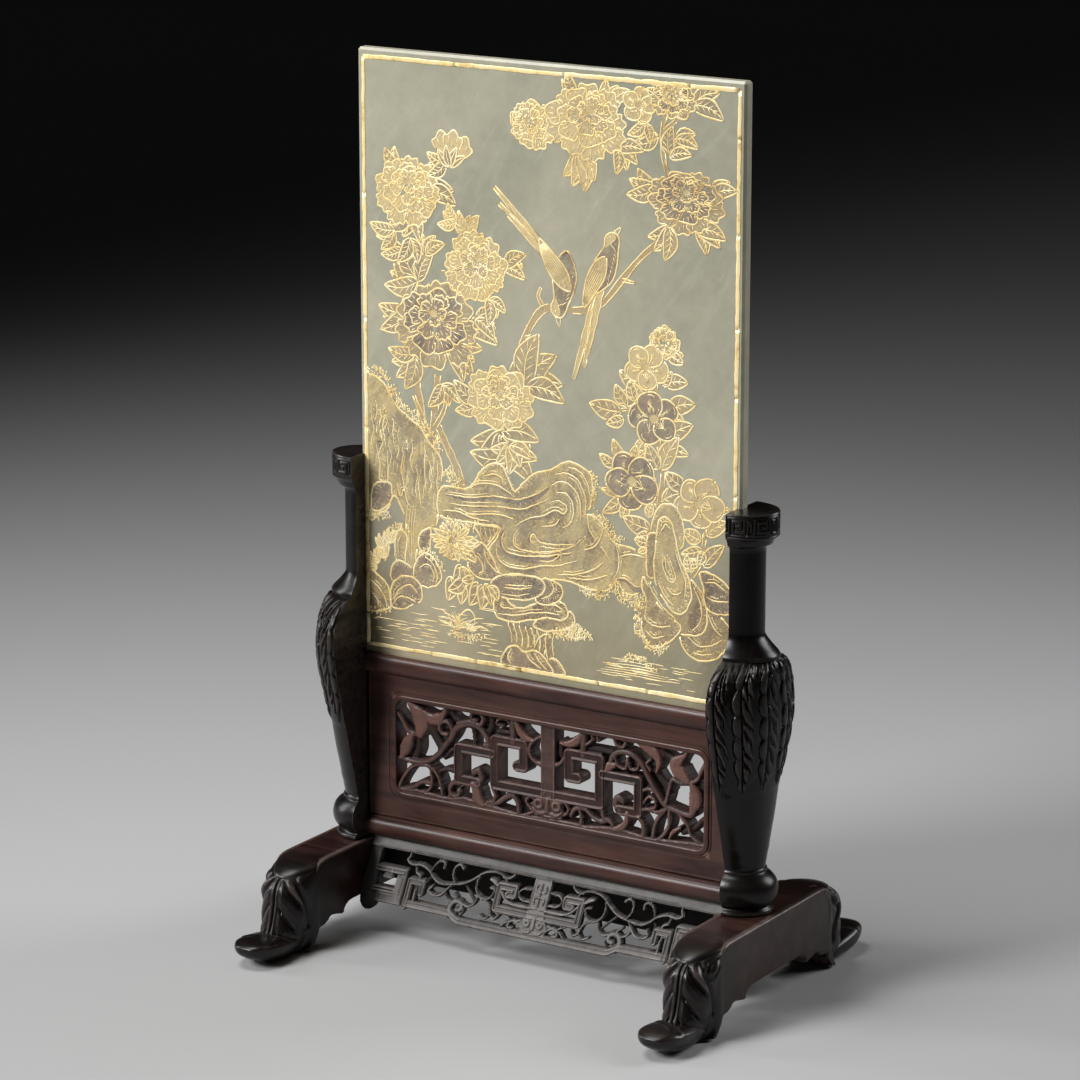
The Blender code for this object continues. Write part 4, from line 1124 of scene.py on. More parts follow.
# posts: half-vases with a flat inner side, carved leaves on the belly and a key fret round the collar

post = dict(flatX=70.7, columns=244, leaves=6, leafLow=70, leafTop=114.6, relief=0.8, scallop=7.5, barb=5.4,
            fretLow=154.6, fretHigh=161.9, fretUnit=8.4, fretDepth=0.42, reachLimit=16.1, grooveDepth=1.6,
            grooveHalf=2.55, grooveBottom=92.0)

# height, reach from the flat and half width of the flat
postProfile = [(30.3, 11.9, 10), (30.6, 12.3, 10.4), (31.2, 12.3, 10.4), (31.7, 11.9, 10), (32, 11.3, 9.4), (32.4,
    11.2, 9.3), (33.2, 12.2, 10.1), (34.5, 13.2, 10.9), (36, 13.75, 11.35), (37.8, 13.9, 11.5), (39.5, 13.55, 11.2),
    (40.8, 13, 10.7), (42, 12, 9.8), (42.9, 10.9, 9), (43.3, 10.1, 8.4), (43.6, 9.85, 8.3), (43.9, 9.95, 8.4), (44.3,
    9.9, 8.35), (44.6, 9.4, 7.95), (45, 9.3, 7.9), (46, 9.5, 8.3), (48.5, 9.8, 9), (51, 10.15, 9.6), (53, 10.4, 10.2),
    (56, 10.8, 11.1), (60, 11.3, 12.2), (66, 11.9, 13.9), (71, 12.4, 15.3), (74, 12.75, 16.1), (77, 13.1, 16.8), (81,
    13.8, 17.7), (84.5, 14.4, 18.6), (88, 14.9, 19.6), (93, 15.4, 20.8), (97.5, 15.6, 21.3), (103, 14.9, 21.6),
    (106.3, 14.6, 21), (110, 14.6, 18.8), (112.2, 14.3, 16.2), (113.6, 13.7, 13.6), (114.6, 12.8, 11.4), (114.75,
    13.45, 11), (115.3, 13.5, 11.1), (116.2, 12.9, 10.7), (118.5, 10.6, 8.95), (120.5, 8.9, 7.85), (121.6, 8.25,
    7.45), (122.4, 8.15, 7.35), (136, 8.15, 7.3), (150.2, 8.2, 7.3), (150.8, 8.5, 7.5), (151.2, 9.8, 8.2), (151.6,
    10.6, 8.6), (152.4, 10.9, 8.8), (153.6, 11.9, 9.4), (154.1, 12.3, 9.7), (154.25, 12.75, 10), (154.6, 12.85, 10.1),
    (161.7, 12.85, 10.1), (162.1, 12.65, 9.95), (162.2, 12.1, 9.5)]

def leafRelief(angle, z):
    # six overlapping leaves: a straight incised midrib, a narrow plump half with a scalloped edge on its left,
    # and on its right a broad half with slanting barbs that fall away from the midrib
    pitch = 180 / post["leaves"]
    turn = (angle + 90) / pitch
    fall = post["leafTop"] - z
    number = np.floor(turn)
    lobe = (fall - 1.5 + 1.9 * (number % 2)) / post["scallop"]
    scallop = np.abs(np.sin(math.pi * lobe)) ** 0.55
    local = (angle + 90) % pitch
    taper = ease(71.5, 84.0, z)
    ribAt = 10.5
    edgeAt = 5.2 - 4.8 * scallop * (0.35 + 0.65 * taper) + (1 - taper) * 3.4
    left = np.clip((local - edgeAt) / (ribAt - edgeAt), 0, 1)
    plump = (0.42 + 0.46 * scallop) * np.sin(math.pi * np.clip(0.12 + 0.8 * left, 0, 1)) ** 0.6
    right = np.clip((local - ribAt) / (pitch + 1.5 - ribAt), 0, 1)
    width = np.clip(right / np.maximum(0.18 + 0.82 * taper, 0.05), 0, 1)
    slant = (fall + 2.2 * (number % 2) - 0.6 * (local - ribAt)) / post["barb"]
    slant = slant + 0.16 * np.sin(fall * 0.55 + number * 2.1) + 0.07 * np.sin(fall * 1.3 + number)
    phase = slant - np.floor(slant)
    barbEnd = 0.33 + 0.06 * np.sin(np.floor(slant) * 2.7 + number * 1.9) + 0.24 * phase
    barbReach = ease(0.03, 0.1, width) * (1 - ease(barbEnd, barbEnd + 0.16, width))
    barb = ease(0.06, 0.55, phase) * (1 - ease(0.72, 0.94, phase)) * barbReach
    nick = bell(phase - 0.96, 0.07) * barbReach
    broad = 0.2 - 0.12 * width + 0.06 * np.cos(4 * math.pi * slant) * (width > 0.5) + 0.72 * barb - 0.5 * nick
    rise = np.where(local > ribAt, broad, np.where(local > edgeAt, plump, 0.02))
    # cut lines: the crease between two leaves, the midrib and a slit near the top
    deepTop = ease(103.0, 106.0, z) * (1 - ease(111.5, 113.6, z))
    rise = rise - bell(local - edgeAt, 0.62) * (0.7 + 1.0 * deepTop)
    rise = rise - 0.75 * bell(local - ribAt, 0.5)
    slitAt = ribAt + 3.2 + (112.0 - z) * 0.55
    slit = bell(local - slitAt, 0.85) * ease(103.4, 105.6, z) * (1 - ease(110.6, 112.8, z))
    rise = rise - 1.5 * slit
    # below its tip a leaf gives way to the plain body of the post
    tip = ease(71.0, 82.0, z)
    spread = np.where(local > ribAt, (local - ribAt) / 19.0, (ribAt - local) / 10.0)
    rise = np.where(spread < tip * 1.25 + 0.02, rise, -0.12)
    return rise * ease(70.5, 76.5, z) * (1 - ease(113.4, 114.5, z))


# the meander's strokes from corner to corner: along the band and height, twice
keyFret = ((0.5, 160.4, 0.5, 155.9), (0.5, 160.4, 4.4, 160.4), (4.4, 160.4, 4.4, 157.2), (4.4, 157.2, 1.9, 157.2),
           (1.9, 157.2, 1.9, 159), (1.9, 159, 3.1, 159), (5.6, 160.4, 5.6, 155.9), (0.5, 155.9, 5.6, 155.9),
           (5.6, 160.4, 7.7, 160.4), (7.7, 160.4, 7.7, 156.4), (7.7, 156.4, 6.6, 156.4), (6.6, 156.4, 6.6, 158.8))


def keyFretCut(along, z):
    # square meander between two lines, cut into the collar; along is in mm round the band
    cut = np.zeros_like(along)
    for level in (155.0, 161.3):
        cut = np.maximum(cut, bell(z - level, 0.16))
    x = along % post["fretUnit"]
    for ax, az, bx, bz in keyFret:
        dx = np.maximum(0, np.maximum(min(ax, bx) - x, x - max(ax, bx)))
        dz = np.maximum(0, np.maximum(min(az, bz) - z, z - max(az, bz)))
        cut = np.maximum(cut, bell(np.hypot(dx, dz), 0.21))
    return cut


def buildPost(name, node, side):
    rows = []
    profile = np.array(postProfile)
    for low, high in zip(profile[:-1], profile[1:]):
        fine = 0.44 if 70 < low[0] < 114 else 0.29 if 154.3 < low[0] < 161.8 else 1.4
        count = max(1, int(round((high[0] - low[0]) / fine)))
        rows += [low + (high - low) * k / count for k in range(count)]
    rows = np.array(rows + [profile[-1]])
    # soften the belly's facets between the stated heights
    belly = (rows[:, 0] > 50) & (rows[:, 0] < 110)
    for axis in (1, 2):
        smooth = np.convolve(np.pad(rows[:, axis], 6, mode="edge"), np.ones(13) / 13, mode="valid")
        rows[belly, axis] = smooth[belly]
    angle = np.linspace(-90, 90, post["columns"] + 1)
    a = np.radians(angle)
    rings, marks = [], []
    for z, reach, half in rows:
        ex, ey = reach * np.cos(a), half * np.sin(a)
        nx, ny = np.cos(a) / reach, np.sin(a) / half
        norm = np.hypot(nx, ny)
        rise = mark = np.zeros_like(angle)
        level = np.full_like(angle, z)
        if post["leafLow"] < z < post["leafTop"]:
            relief = leafRelief(angle, level)
            rise = post["relief"] * relief
            # raised leaf tops paler from wear; the cut lines and creases get painted shade
            mark = np.clip((relief - 0.42) * 0.9, 0, 0.4) + np.clip((relief + 0.05) * 1.1, -0.9, 0)
        elif post["fretLow"] <= z <= post["fretHigh"]:
            walk = np.concatenate([[0], np.cumsum(np.hypot(np.diff(ex), np.diff(ey)))])
            cut = keyFretCut(walk - walk[-1] / 2 + 5 * post["fretUnit"], level)
            rise = -post["fretDepth"] * cut
            # the collar a little paler from wear, the fret's cuts painted shade
            mark = 0.1 - 0.8 * cut
        rise = rise * np.clip((90 - np.abs(angle)) / 3, 0, 1)
        px, py = np.minimum(ex + nx / norm * rise, post["reachLimit"]), ey + ny / norm * rise
        # the groove for the plaque is cut into the flat side
        depth = post["grooveDepth"] if z >= post["grooveBottom"] else 0.02
        g = post["grooveHalf"]
        xs = side * (post["flatX"] + np.concatenate([px, [0, depth, depth, 0]]))
        rings.append(np.column_stack([xs, np.concatenate([py, [g, g, -g, -g]]), np.full(len(xs), z)]))
        marks.append(np.concatenate([mark, np.zeros(4)]))
    verts, faces = ringSkin(rings)
    piece = addMesh(name, verts, turnedOver(faces) if side < 0 else faces, woods["darkHardwood"], 50,
                    np.concatenate(marks))
    settle(piece, "dark_hardwood", node)


buildPost("carvedPostLeft", "post_left", -1)
buildPost("carvedPostRight", "post_right", 1)
print("posts made")

# pierced work: strokes of carving are laid on a fine grid, then cut out as one solid

carving = dict(step=0.3, fretFront=-1.4, fretBack=4.2, beadRise=0.3, beadIn=0.5, roundOver=0.34)
# how high a rounded stroke starts and how much it swells
domes = dict(vine=(-0.75, 0.85), knob=(-0.75, 0.85), low=(-1.5, 0.6), boss=(-0.05, 0.62))


def laidOut(work, hand=1):
    # single strokes out of a table by kind, whose rows are a width (or several along the stroke) and then
    # x and height in turn; hand -1 mirrors them
    return [(kind, width, pairs(points) * (hand, 1)) for kind, rows in work.items() for width, *points in rows]


def curled(x, z, r, sweep, steps=14):
    # a curl that starts at the top
    return np.ravel(arcPoints(x, z, r, 90, 90 + sweep, steps))


def layStrokes(gx, gz, strokes):
    # how far inside the wood each grid point is, its rise, and whether a leaf lies on top
    inside = np.full(len(gx), -9.0)
    rise = np.full(len(gx), -2.0)
    leafy = np.zeros(len(gx), bool)
    beadIn = carving["beadIn"]
    for kind, width, points in strokes:
        widths = np.atleast_1d(np.array(width, float)) / 2
        if kind == "board":
            path = np.vstack([points, points[:1]])
        else:
            path = points if kind == "fret" else smoothPath(points, 6)
        pick, dist, along, side = nearPath(gx, gz, path, 60 if kind == "board" else widths.max() + 1)
        if kind == "board":
            deep = np.where(insidePolygon(gx[pick], gz[pick], points), dist, -dist)
            top = 0.02 + carving["beadRise"] * 0.7 * bell(deep - beadIn, 0.25)
        else:
            half = np.interp(along, np.linspace(0, 1, len(widths)), widths) if len(widths) > 1 else widths[0]
            deep = half - dist
            dome = np.sqrt(1 - np.clip(dist / np.maximum(half, 0.05), 0, 1) ** 2 * 0.98)
            if kind == "fret":
                top = carving["beadRise"] * bell(deep - beadIn, 0.26) + 0.04
                top = top - 0.22 * ease(beadIn + 0.15, beadIn + 0.45, deep)
            elif kind == "leaf":
                vein = np.abs(np.sin(along * 22 - dist * 1.6 * side)) * 0.08 * (dist > 0.3)
                top = -0.45 + 0.85 * dome - 0.2 * bell(dist, 0.22) - vein
            else:
                base, swell = domes[kind]
                top = base + swell * dome
        top = top - carving["roundOver"] * (1 - ease(0, 0.45, deep))
        inside[pick] = np.maximum(inside[pick], deep)
        over = (deep > -0.3) & (top > rise[pick])
        rise[pick] = np.where(over, top, rise[pick])
        leafy[pick] = np.where(over, kind == "leaf", leafy[pick])
    return inside, rise, leafy


def cutOut(name, area, strokes, place, back, materials, limit=None, step=carving["step"], footShade=None):
    # the outline follows the edge of the wood through the grid's cells; limit is a straight trim
    x0, x1, z0, z1 = area
    xs = np.linspace(x0, x1, int((x1 - x0) / step) + 1)
    zs = np.linspace(z0, z1, int((z1 - z0) / step) + 1)
    gx, gz = [g.ravel() for g in np.meshgrid(xs, zs)]
    wide = len(xs)
    field, rise, leafy = layStrokes(gx, gz, strokes)
    if limit:
        a, b, c, d = limit
        field = np.minimum.reduce([field, gx - a, b - gx, gz - c, d - gz])
    edge = (gx <= x0) | (gx >= x1 - 1e-9) | (gz <= z0) | (gz >= z1 - 1e-9)
    field = np.where(edge, np.minimum(field, -0.02), field)
    field = np.where(np.abs(field) < 0.004, 0.004, field)
    full = field > 0
    front, rear, faces, tone, made, marks, walls = [], [], [], [], {}, [], []
    # raised strokes paler from wear; sunken strokes darkened as painted shade
    handled = 0.5 * ease(-0.16, 0.2, rise) - 0.55 * ease(0.22, 0.75, -rise)
    # painted shade: the wood darkens across the given span towards the foot
    if footShade:
        handled = handled - ease(*footShade, np.abs(gx))

    def spotAt(key, x, z, height, deep, mark):
        if key not in made:
            made[key] = len(front)
            marks.append(mark)
            front.append(place(x, z, height))
            rear.append(place(x, z, deep))
        return made[key]

    def crossing(k, m):
        share = field[k] / (field[k] - field[m])
        wood = k if full[k] else m
        # the top edge of each wall takes half the mark, shifted into painted shade
        return spotAt((min(k, m), max(k, m)), gx[k] + (gx[m] - gx[k]) * share, gz[k] + (gz[m] - gz[k]) * share,
                      rise[wood] - 0.06, -back + 0.15, handled[wood] * 0.5 - 0.25)

    for j in range(len(zs) - 1):
        for base in range(j * wide, j * wide + wide - 1):
            ring = (base, base + 1, base + 1 + wide, base + wide)
            if not any(full[k] for k in ring):
                continue
            # each corner of the face with 1 where the outline leaves the wood and 2 where it comes back
            loop = []
            for k, m in zip(ring, ring[1:] + ring[:1]):
                if full[k]:
                    loop.append((spotAt(k, gx[k], gz[k], rise[k], -back, handled[k]), 0))
                if full[k] != full[m]:
                    loop.append((crossing(k, m), 1 if full[k] else 2))
            faces.append([v for v, turn in loop])
            tone.append(int(leafy[base]))
            walls += [(a, b) for (a, out), (b, home) in zip(loop, loop[1:] + loop[:1]) if out == 1 and home == 2]
    n = len(front)
    faces += [[v + n for v in reversed(f)] for f in faces] + [[b, a, a + n, b + n] for a, b in walls]
    # the back of the carving is painted shade, near black
    piece = addMesh(name, front + rear, faces, materials[0], 38, marks + [-0.85] * n)
    if len(materials) > 1:
        piece.data.materials.append(materials[1])
        tone += [0] * (len(piece.data.polygons) - len(tone))
        piece.data.polygons.foreach_set("material_index", np.array(tone, np.int32))
    return piece


# pierced panel: its fretwork, its framing board and the moulded lip between them

panel = dict(halfWide=70.4, low=37.9, high=87.8, front=-1.8, back=4.6, winHalf=59.3, winLow=47.3, winHigh=79.3,
             corner=3.0, lip=1.9, lipRise=0.62, line=2.75)
panelLeft = dict(
    fret=[(3.7, 0, 55.9, 20.7, 55.9, 20.7, 71.3, 9.5, 71.3, 9.5, 63.7, 12, 63.7), (3.5, 22, 66.3, 35, 66.3, 35, 55.4,
        27.6, 55.4)],
    vine=[(2.6, 27.8, 55.4, 26, 57, 27.2, 59.4, 29, 58.6), ((2, 2.2, 2.6, 2.2), 58.5, 59, 52, 58.4, 47, 59.6, 43,
        62.6, 40.4, 66, 37.6, 69.6, 35.6, 73, 31, 75, 27, 74.4, 24, 71.6, 23.2, 69), ((2.4, 1.8, 1.4), 35, 74.6, 30.5,
        75.8, 26.6, 75.4, 25.4, 77.8, 27, 79.6, 29.6, 79, 29.8, 77, 28.2, 76.6), (1.7, 37.8, 69.5, 37.6, 72, 39.2,
        74.3, 41.6, 74, 42.6, 72.2, 41.6, 70.2, 39.6, 70), ((1.4, 2.2, 2.6), 60, 75.4, 57.4, 72.4, 55.6, 69.6, 53.6,
        68.2, 50.4, 68.4), (1.6, 59.6, 47.2, 57, 52.4, 53.2, 56.8, 48, 58, 44.2, 56.2, 42.2, 52.4, 41.2, 46.8), ((1.4,
        2.2, 1.6), 57, 48.4, 53, 49.6, 49.6, 51.8, 46.4, 52), (1.5, 46.4, 58.2, 45.6, 52.6, 47, 49.4, 50.4, 48.2), (2,
        34.6, 53.9, 37.2, 53.6, 38.6, 51.2, 37.2, 49.2, 35.2, 49.6, 34.8, 51.4), (1.6, 38.4, 51, 38.6, 48), (1.8,
        21.6, 54.5, 20.6, 52.2, 21.4, 49.8, 23.6, 49.2), ((1.8, 2.4, 2), 24, 48.2, 19.8, 49.6, 16.4, 52.2, 13.8, 53.2,
        11.8, 51, 11.4, 47), (1.5, 4.2, 49.2, 6.6, 50.2, 8.4, 52.2, 7, 54.2, 5.2, 53.2, 6, 51.8), (1.5, 5, 49.4, 9.6,
        47), ((2, 1.5), 0, 65.6, 4.6, 66.2, 7.2, 68.8, 6.8, 72, 4.4, 74.4, 2.6, 75.4), (2.8, 13.6, 71.6, 13.8, 80),
        (1.2, 14.8, 77.2, 16, 78.9, 18.8, 78.9, 20, 77, 17.6, 76.6)],
    board=[(0, 22.5, 67, 25.4, 67, 25.2, 69.6, 22.5, 69.4), (0, 60, 46.5, 60, 48.6, 52, 49, 44, 48.6, 39, 48.4, 33,
        49.6, 25, 49, 18, 48.2, 12, 47.6, 0, 47.8, 0, 46.5)],
    leaf=[((0.9, 3, 6.2, 6.4, 3.6), 55.8, 80, 53.2, 77.4, 50.6, 74.4, 49.8, 71.6, 50.4, 68.6), ((1.6, 4.4, 4.6, 2),
        53.4, 67.8, 55.2, 64.8, 56.6, 61.8, 57.6, 59.4), ((1.2, 4.2, 4.6, 2, 1.2), 48.4, 76.6, 45.6, 74.4, 42.6, 75.2,
        40.6, 77.4, 39.8, 80), ((2.2, 3.8, 4.6, 2.4), 29.4, 54.6, 28, 52.4, 27.6, 50.2, 25.4, 48.2), ((1.2, 3.4, 2.8,
        1), 6, 73.4, 9.2, 74.2, 11.2, 76.4, 12.8, 79.6)],
    low=[(3, 47.6, 73, 45.8, 69.6, 43.2, 65.8, 42, 63.6), (2.6, 46.4, 74, 43.8, 71.2), (2.2, 24.2, 72.4, 22.6, 75.6,
        22.8, 80), (1.8, 38.6, 80, 37.4, 76.4, 34.6, 74.8), (1.6, 20, 74, 14, 74.4), (1.8, 59.6, 62.2, 56.8, 62.6),
        (1.7, 41, 61.6, 38.4, 64.6, 36.4, 65), (1.6, 36, 57.2, 40.2, 57.6, 44, 56), (2.4, 51.6, 68, 51.4, 63, 53.4,
        58.6), (1.6, 30.2, 74.8, 29.4, 71.4, 29, 67.6)])
panelRight = dict(
    fret=[(3.7, 0, 55.9, 19.8, 55.9, 19.8, 71.3, 7.9, 71.3, 7.9, 63.4, 11.4, 63.4), (3.5, 21, 66.4, 34.3, 66.4, 34.3,
        55.4, 27.2, 55.4)],
    vine=[(2.7, 27.4, 55.4, 25.6, 57.2, 26.6, 59.2, 28.4, 58.6), ((2, 2.4, 2.2, 2), 23.6, 69.6, 24.6, 73, 27.2, 75,
        31.4, 75, 35.2, 72.6, 38.2, 68, 41, 64, 44.2, 60, 49, 58.6, 54, 58, 56, 60.8), (1.3, 25.4, 73.6, 26.6, 70.4,
        29.6, 69.8, 30.2, 73, 31.4, 70, 34, 70.4, 34.6, 72.6), (1.6, 25, 80, 26, 77.4, 28.4, 76.8, 29.4, 78.6, 28.2,
        79.6), (1.3, 38.6, 77, 39, 74.6, 37.4, 72.8, 38.8, 70.8), (1.7, 60, 77.8, 57.8, 73.4, 56.2, 70.4, 53, 68.8,
        49.6, 68.4, 47.2, 69, 46, 66, 45.2, 62.4, 44.4, 60), (1.6, 49, 58.4, 52.8, 54.6, 54.4, 51.2, 58.8, 48.6),
        (1.7, 46, 58.4, 46, 53.6, 44.2, 50.2, 41, 46.8), (1.8, 44.8, 58.8, 41.6, 54.6, 40.4, 51, 39.8, 46.8), (1.6,
        35.2, 56.6, 37.8, 57.4, 41.6, 57, 43.6, 58), (1.5, 36.2, 63.6, 38.4, 64.4, 41, 63.6), (1.4, 36.4, 59.4, 38.2,
        61.6, 40.6, 61, 40.8, 58.6, 38.8, 57.8), (2.2, 34.4, 54.4, 36.4, 51.6, 36.4, 47.4), (2, 20.6, 54.4, 21.4,
        51.8, 24, 50.6, 25.4, 48.6), (1.9, 8.8, 50.4, 10.4, 52.8, 14, 53.4, 17.4, 51.2, 20.4, 50.2, 22.6, 51), (1.7,
        12, 53, 12.8, 50.2, 12.6, 47), (1.5, 3.2, 49.6, 6.6, 50.2, 7.8, 52.2, 6.2, 54.2, 4.4, 53.2, 5.2, 51.8), ((2,
        1.5), 0, 65.6, 4.4, 67.2, 6.6, 70.2), (2.8, 13.4, 71.6, 13.6, 80), (1.3, 14.6, 75.4, 16.8, 77.4, 16.8, 79.2,
        18.6, 79.4, 19, 77.6)],
    leaf=[((1.8, 3.6, 1.8), 22.4, 68, 23.6, 69.6, 25.4, 70.2), ((1.4, 4, 4.4, 2.6, 1), 33.4, 80, 37.6, 78.4, 40.8,
        76.4, 42, 73.6, 41.2, 70.6), ((0.9, 2.2, 5, 5.4, 3), 53, 80, 51.6, 77.8, 48.6, 74.8, 49.2, 72.4, 52.6, 69.6),
        ((1.8, 4.6, 4.8, 2), 54.2, 68.6, 55.4, 65.8, 55.6, 62.6, 54.4, 59), ((0.8, 1.8, 1), 46.2, 49.2, 47.6, 51.4,
        50, 53.2), ((1.8, 2.4, 2.8, 1.8), 30.2, 54.6, 30, 52, 28.2, 49.6, 25.4, 48.4), ((1, 3.4, 2.6, 0.8), 13, 79,
        10.8, 76, 8, 74.6, 4.6, 74.4)],
    low=[(1.8, 29.8, 70, 29.6, 67.6), (1.6, 26.6, 77.6, 26.8, 75), (2.6, 40.6, 70.6, 43, 67.6, 45.8, 65.4), (1.8, 56,
        62.6, 60, 62), (1.6, 6, 50, 10, 50.6), (1.8, 15.4, 74, 23.6, 74), (2, 4.4, 74.4, 4.6, 70, 7, 69), (2.4, 46.6,
        75.4, 43.6, 77, 42.6, 80), (2, 58, 57, 54.6, 53.4, 50.6, 51.6), (1.6, 59.6, 70.4, 56.8, 70.2)],
    board=[(0, 60, 46.5, 60, 49.4, 56.4, 49.4, 50, 48.9, 43, 48.4, 38.6, 48, 33.4, 48.6, 28, 49.2, 22, 48.9, 14.6,
        47.9, 6, 48.2, 0, 48, 0, 46.5)])
panelMiddle = dict(
    board=[(0, -2.9, 46, 2.9, 46, 2.9, 81, -2.9, 81),
           (0, -5.4, 48, 5.4, 48, 6.2, 51, 4.2, 54.6, -4.2, 54.6, -6.2, 51)],
    boss=[((1.5, 2.4), 0, 54.4, 0, 50.4)],
    vine=[(1.6, -5, 52.6, -2.4, 53.8, 0, 52.4, 2.4, 53.8, 5, 52.6)])
panelCurls = dict(
    boss=[(1.5, *curled(3.4, 52.4, 1.3, 330)), ((1.8, 1), 1.2, 49.6, 3.4, 49.2, 5.4, 50.6)])


def buildPanelFretwork():
    strokes = laidOut(panelLeft, -1) + laidOut(panelRight) + laidOut(panelMiddle)
    strokes += laidOut(panelCurls, -1) + laidOut(panelCurls)
    reach = 1.2
    edge = (-panel["winHalf"] - reach, panel["winHalf"] + reach, panel["winLow"] - reach, panel["winHigh"] + reach)

    def place(x, z, rise):
        return (x, carving["fretFront"] - rise, z)

    piece = cutOut("panelFretwork", edge, strokes, place, carving["fretBack"] - carving["fretFront"],
                   [woods["panelHardwood"], woods["leafHardwood"]])
    settle(piece, "red_brown_hardwood")


def roundedLoop(half, low, high, radius, along=26, up=10, bend=8):
    # the same number of points whatever the size, so that loops can be skinned together
    r = max(radius, 0.05)
    spots = [arcPoints(cx, cz, r, start, start + 90, bend) for cx, cz, start in
             ((half - r, low + r, -90), (half - r, high - r, 0), (-half + r, high - r, 90), (-half + r, low + r, 180))]
    out = []
    for k in range(4):
        out += spots[k]
        (ax, az), (bx, bz) = spots[k][-1], spots[(k + 1) % 4][0]
        n = along if k % 2 else up
        out += [(ax + (bx - ax) * t / n, az + (bz - az) * t / n) for t in range(1, n)]
    return out


def buildPanelFrame():
    p = panel
    front, back, lip, cut = p["front"], p["back"], p["lip"], p["line"]

    def window(out, y):
        return (p["winHalf"] + out, p["winLow"] - out, p["winHigh"] + out, p["corner"] + out * 0.8, y)

    # from the back of the window, round the lip, over the board with its cut line, and round the board's edge
    rows = [window(*row) for row in ((-0.05, back - 0.1), (0.0, back - 0.4), (0.0, 1.0), (0.0, front + 0.1))]
    for k in range(9):
        a = math.pi * k / 8
        rows.append(window(lip / 2 - lip / 2 * math.cos(a), front - p["lipRise"] * math.sin(a) ** 0.7))
    rows += [window(*row) for row in (
        (lip + 0.12, front), (cut - 0.28, front), (cut - 0.06, front + 0.26), (cut + 0.1, front + 0.26),
        (cut + 0.34, front), (cut + 1.6, front), (cut + 4.2, front - 0.03))]
    rows += [(p["halfWide"] - inset, p["low"] + inset, p["high"] - inset, 0.1, y) for inset, y in
             ((1.2, front - 0.02), (0.25, front), (0.0, front + 0.25), (0.0, back - 0.3), (0.3, back))]
    rows.append((p["winHalf"] + 0.3, p["winLow"] - 0.3, p["winHigh"] + 0.3, p["corner"], back))
    verts, faces = ringSkin([[(x, y, z) for x, z in roundedLoop(*size)] for *size, y in rows], endless=True)
    settle(addMesh("panelFrame", verts, turnedOver(faces), woods["redHardwood"], 42), "red_brown_hardwood",
           "pierced_panel")


buildPanelFrame()
buildPanelFretwork()
print("panel made")

# rails: plain half-round mouldings, the same front and back; the upper one is grooved for the plaque

rails = dict(half=70.4, stations=48, grooveHalf=2.55, grooveLow=92.3,
             upper=dict(low=88.1, high=94.6, root=3.0, crown=4.54),
             lower=dict(low=30.9, high=37.6, root=2.4, crown=4.94))


def buildRail(name, node, low, high, root, crown, grooved=False):
    mid, tall = (low + high) / 2, (high - low) / 2
    front = [(root, low), (root + 0.15, low + 0.05), (root + 0.15, low + 0.25)]
    for a in np.linspace(-math.pi / 2, math.pi / 2, 17)[1:-1]:
        front.append((root + 0.1 + (crown - root - 0.1) * math.cos(a) ** 0.85, mid + (tall - 0.3) * math.sin(a)))
    front += [(root + 0.15, high - 0.25), (root + 0.15, high - 0.05), (root, high)]
    section = [(-y, z) for y, z in front]
    if grooved:
        g, floor = rails["grooveHalf"], rails["grooveLow"]
        section += [(-g, high), (-g, floor), (g, floor), (g, high)]
    section += front[::-1]
    rings = []
    for x in np.linspace(-rails["half"], rails["half"], rails["stations"]):
        sag = 0.05 * math.sin(x / 17.0) + 0.03 * math.sin(x / 5.3 + 1)
        rings.append([(x, y + (math.copysign(sag, y) if abs(y) > root + 0.6 else 0) * 0.6, z) for y, z in section])
    settle(addMesh(name, *ringSkin(rings), woods["redHardwood"], 40), "red_brown_hardwood", node)


buildRail("mouldedRailUpper", "upper_rail", **rails["upper"], grooved=True)
buildRail("mouldedRailLower", "lower_rail", **rails["lower"])
print("rails made")

# aprons: a leaning pierced board below the lower rail at the front, with separate corner pieces, and a plain board
# behind

apron = dict(top=30.6, topY=1.5, lean=0.53, depth=2.3, end=68.4, gap=0.15, step=0.255, low=8.9, seam=51.8,
             cornerLow=7.9, cornerTop=26.9, boardFoot=12.3, boardDepth=3.4)

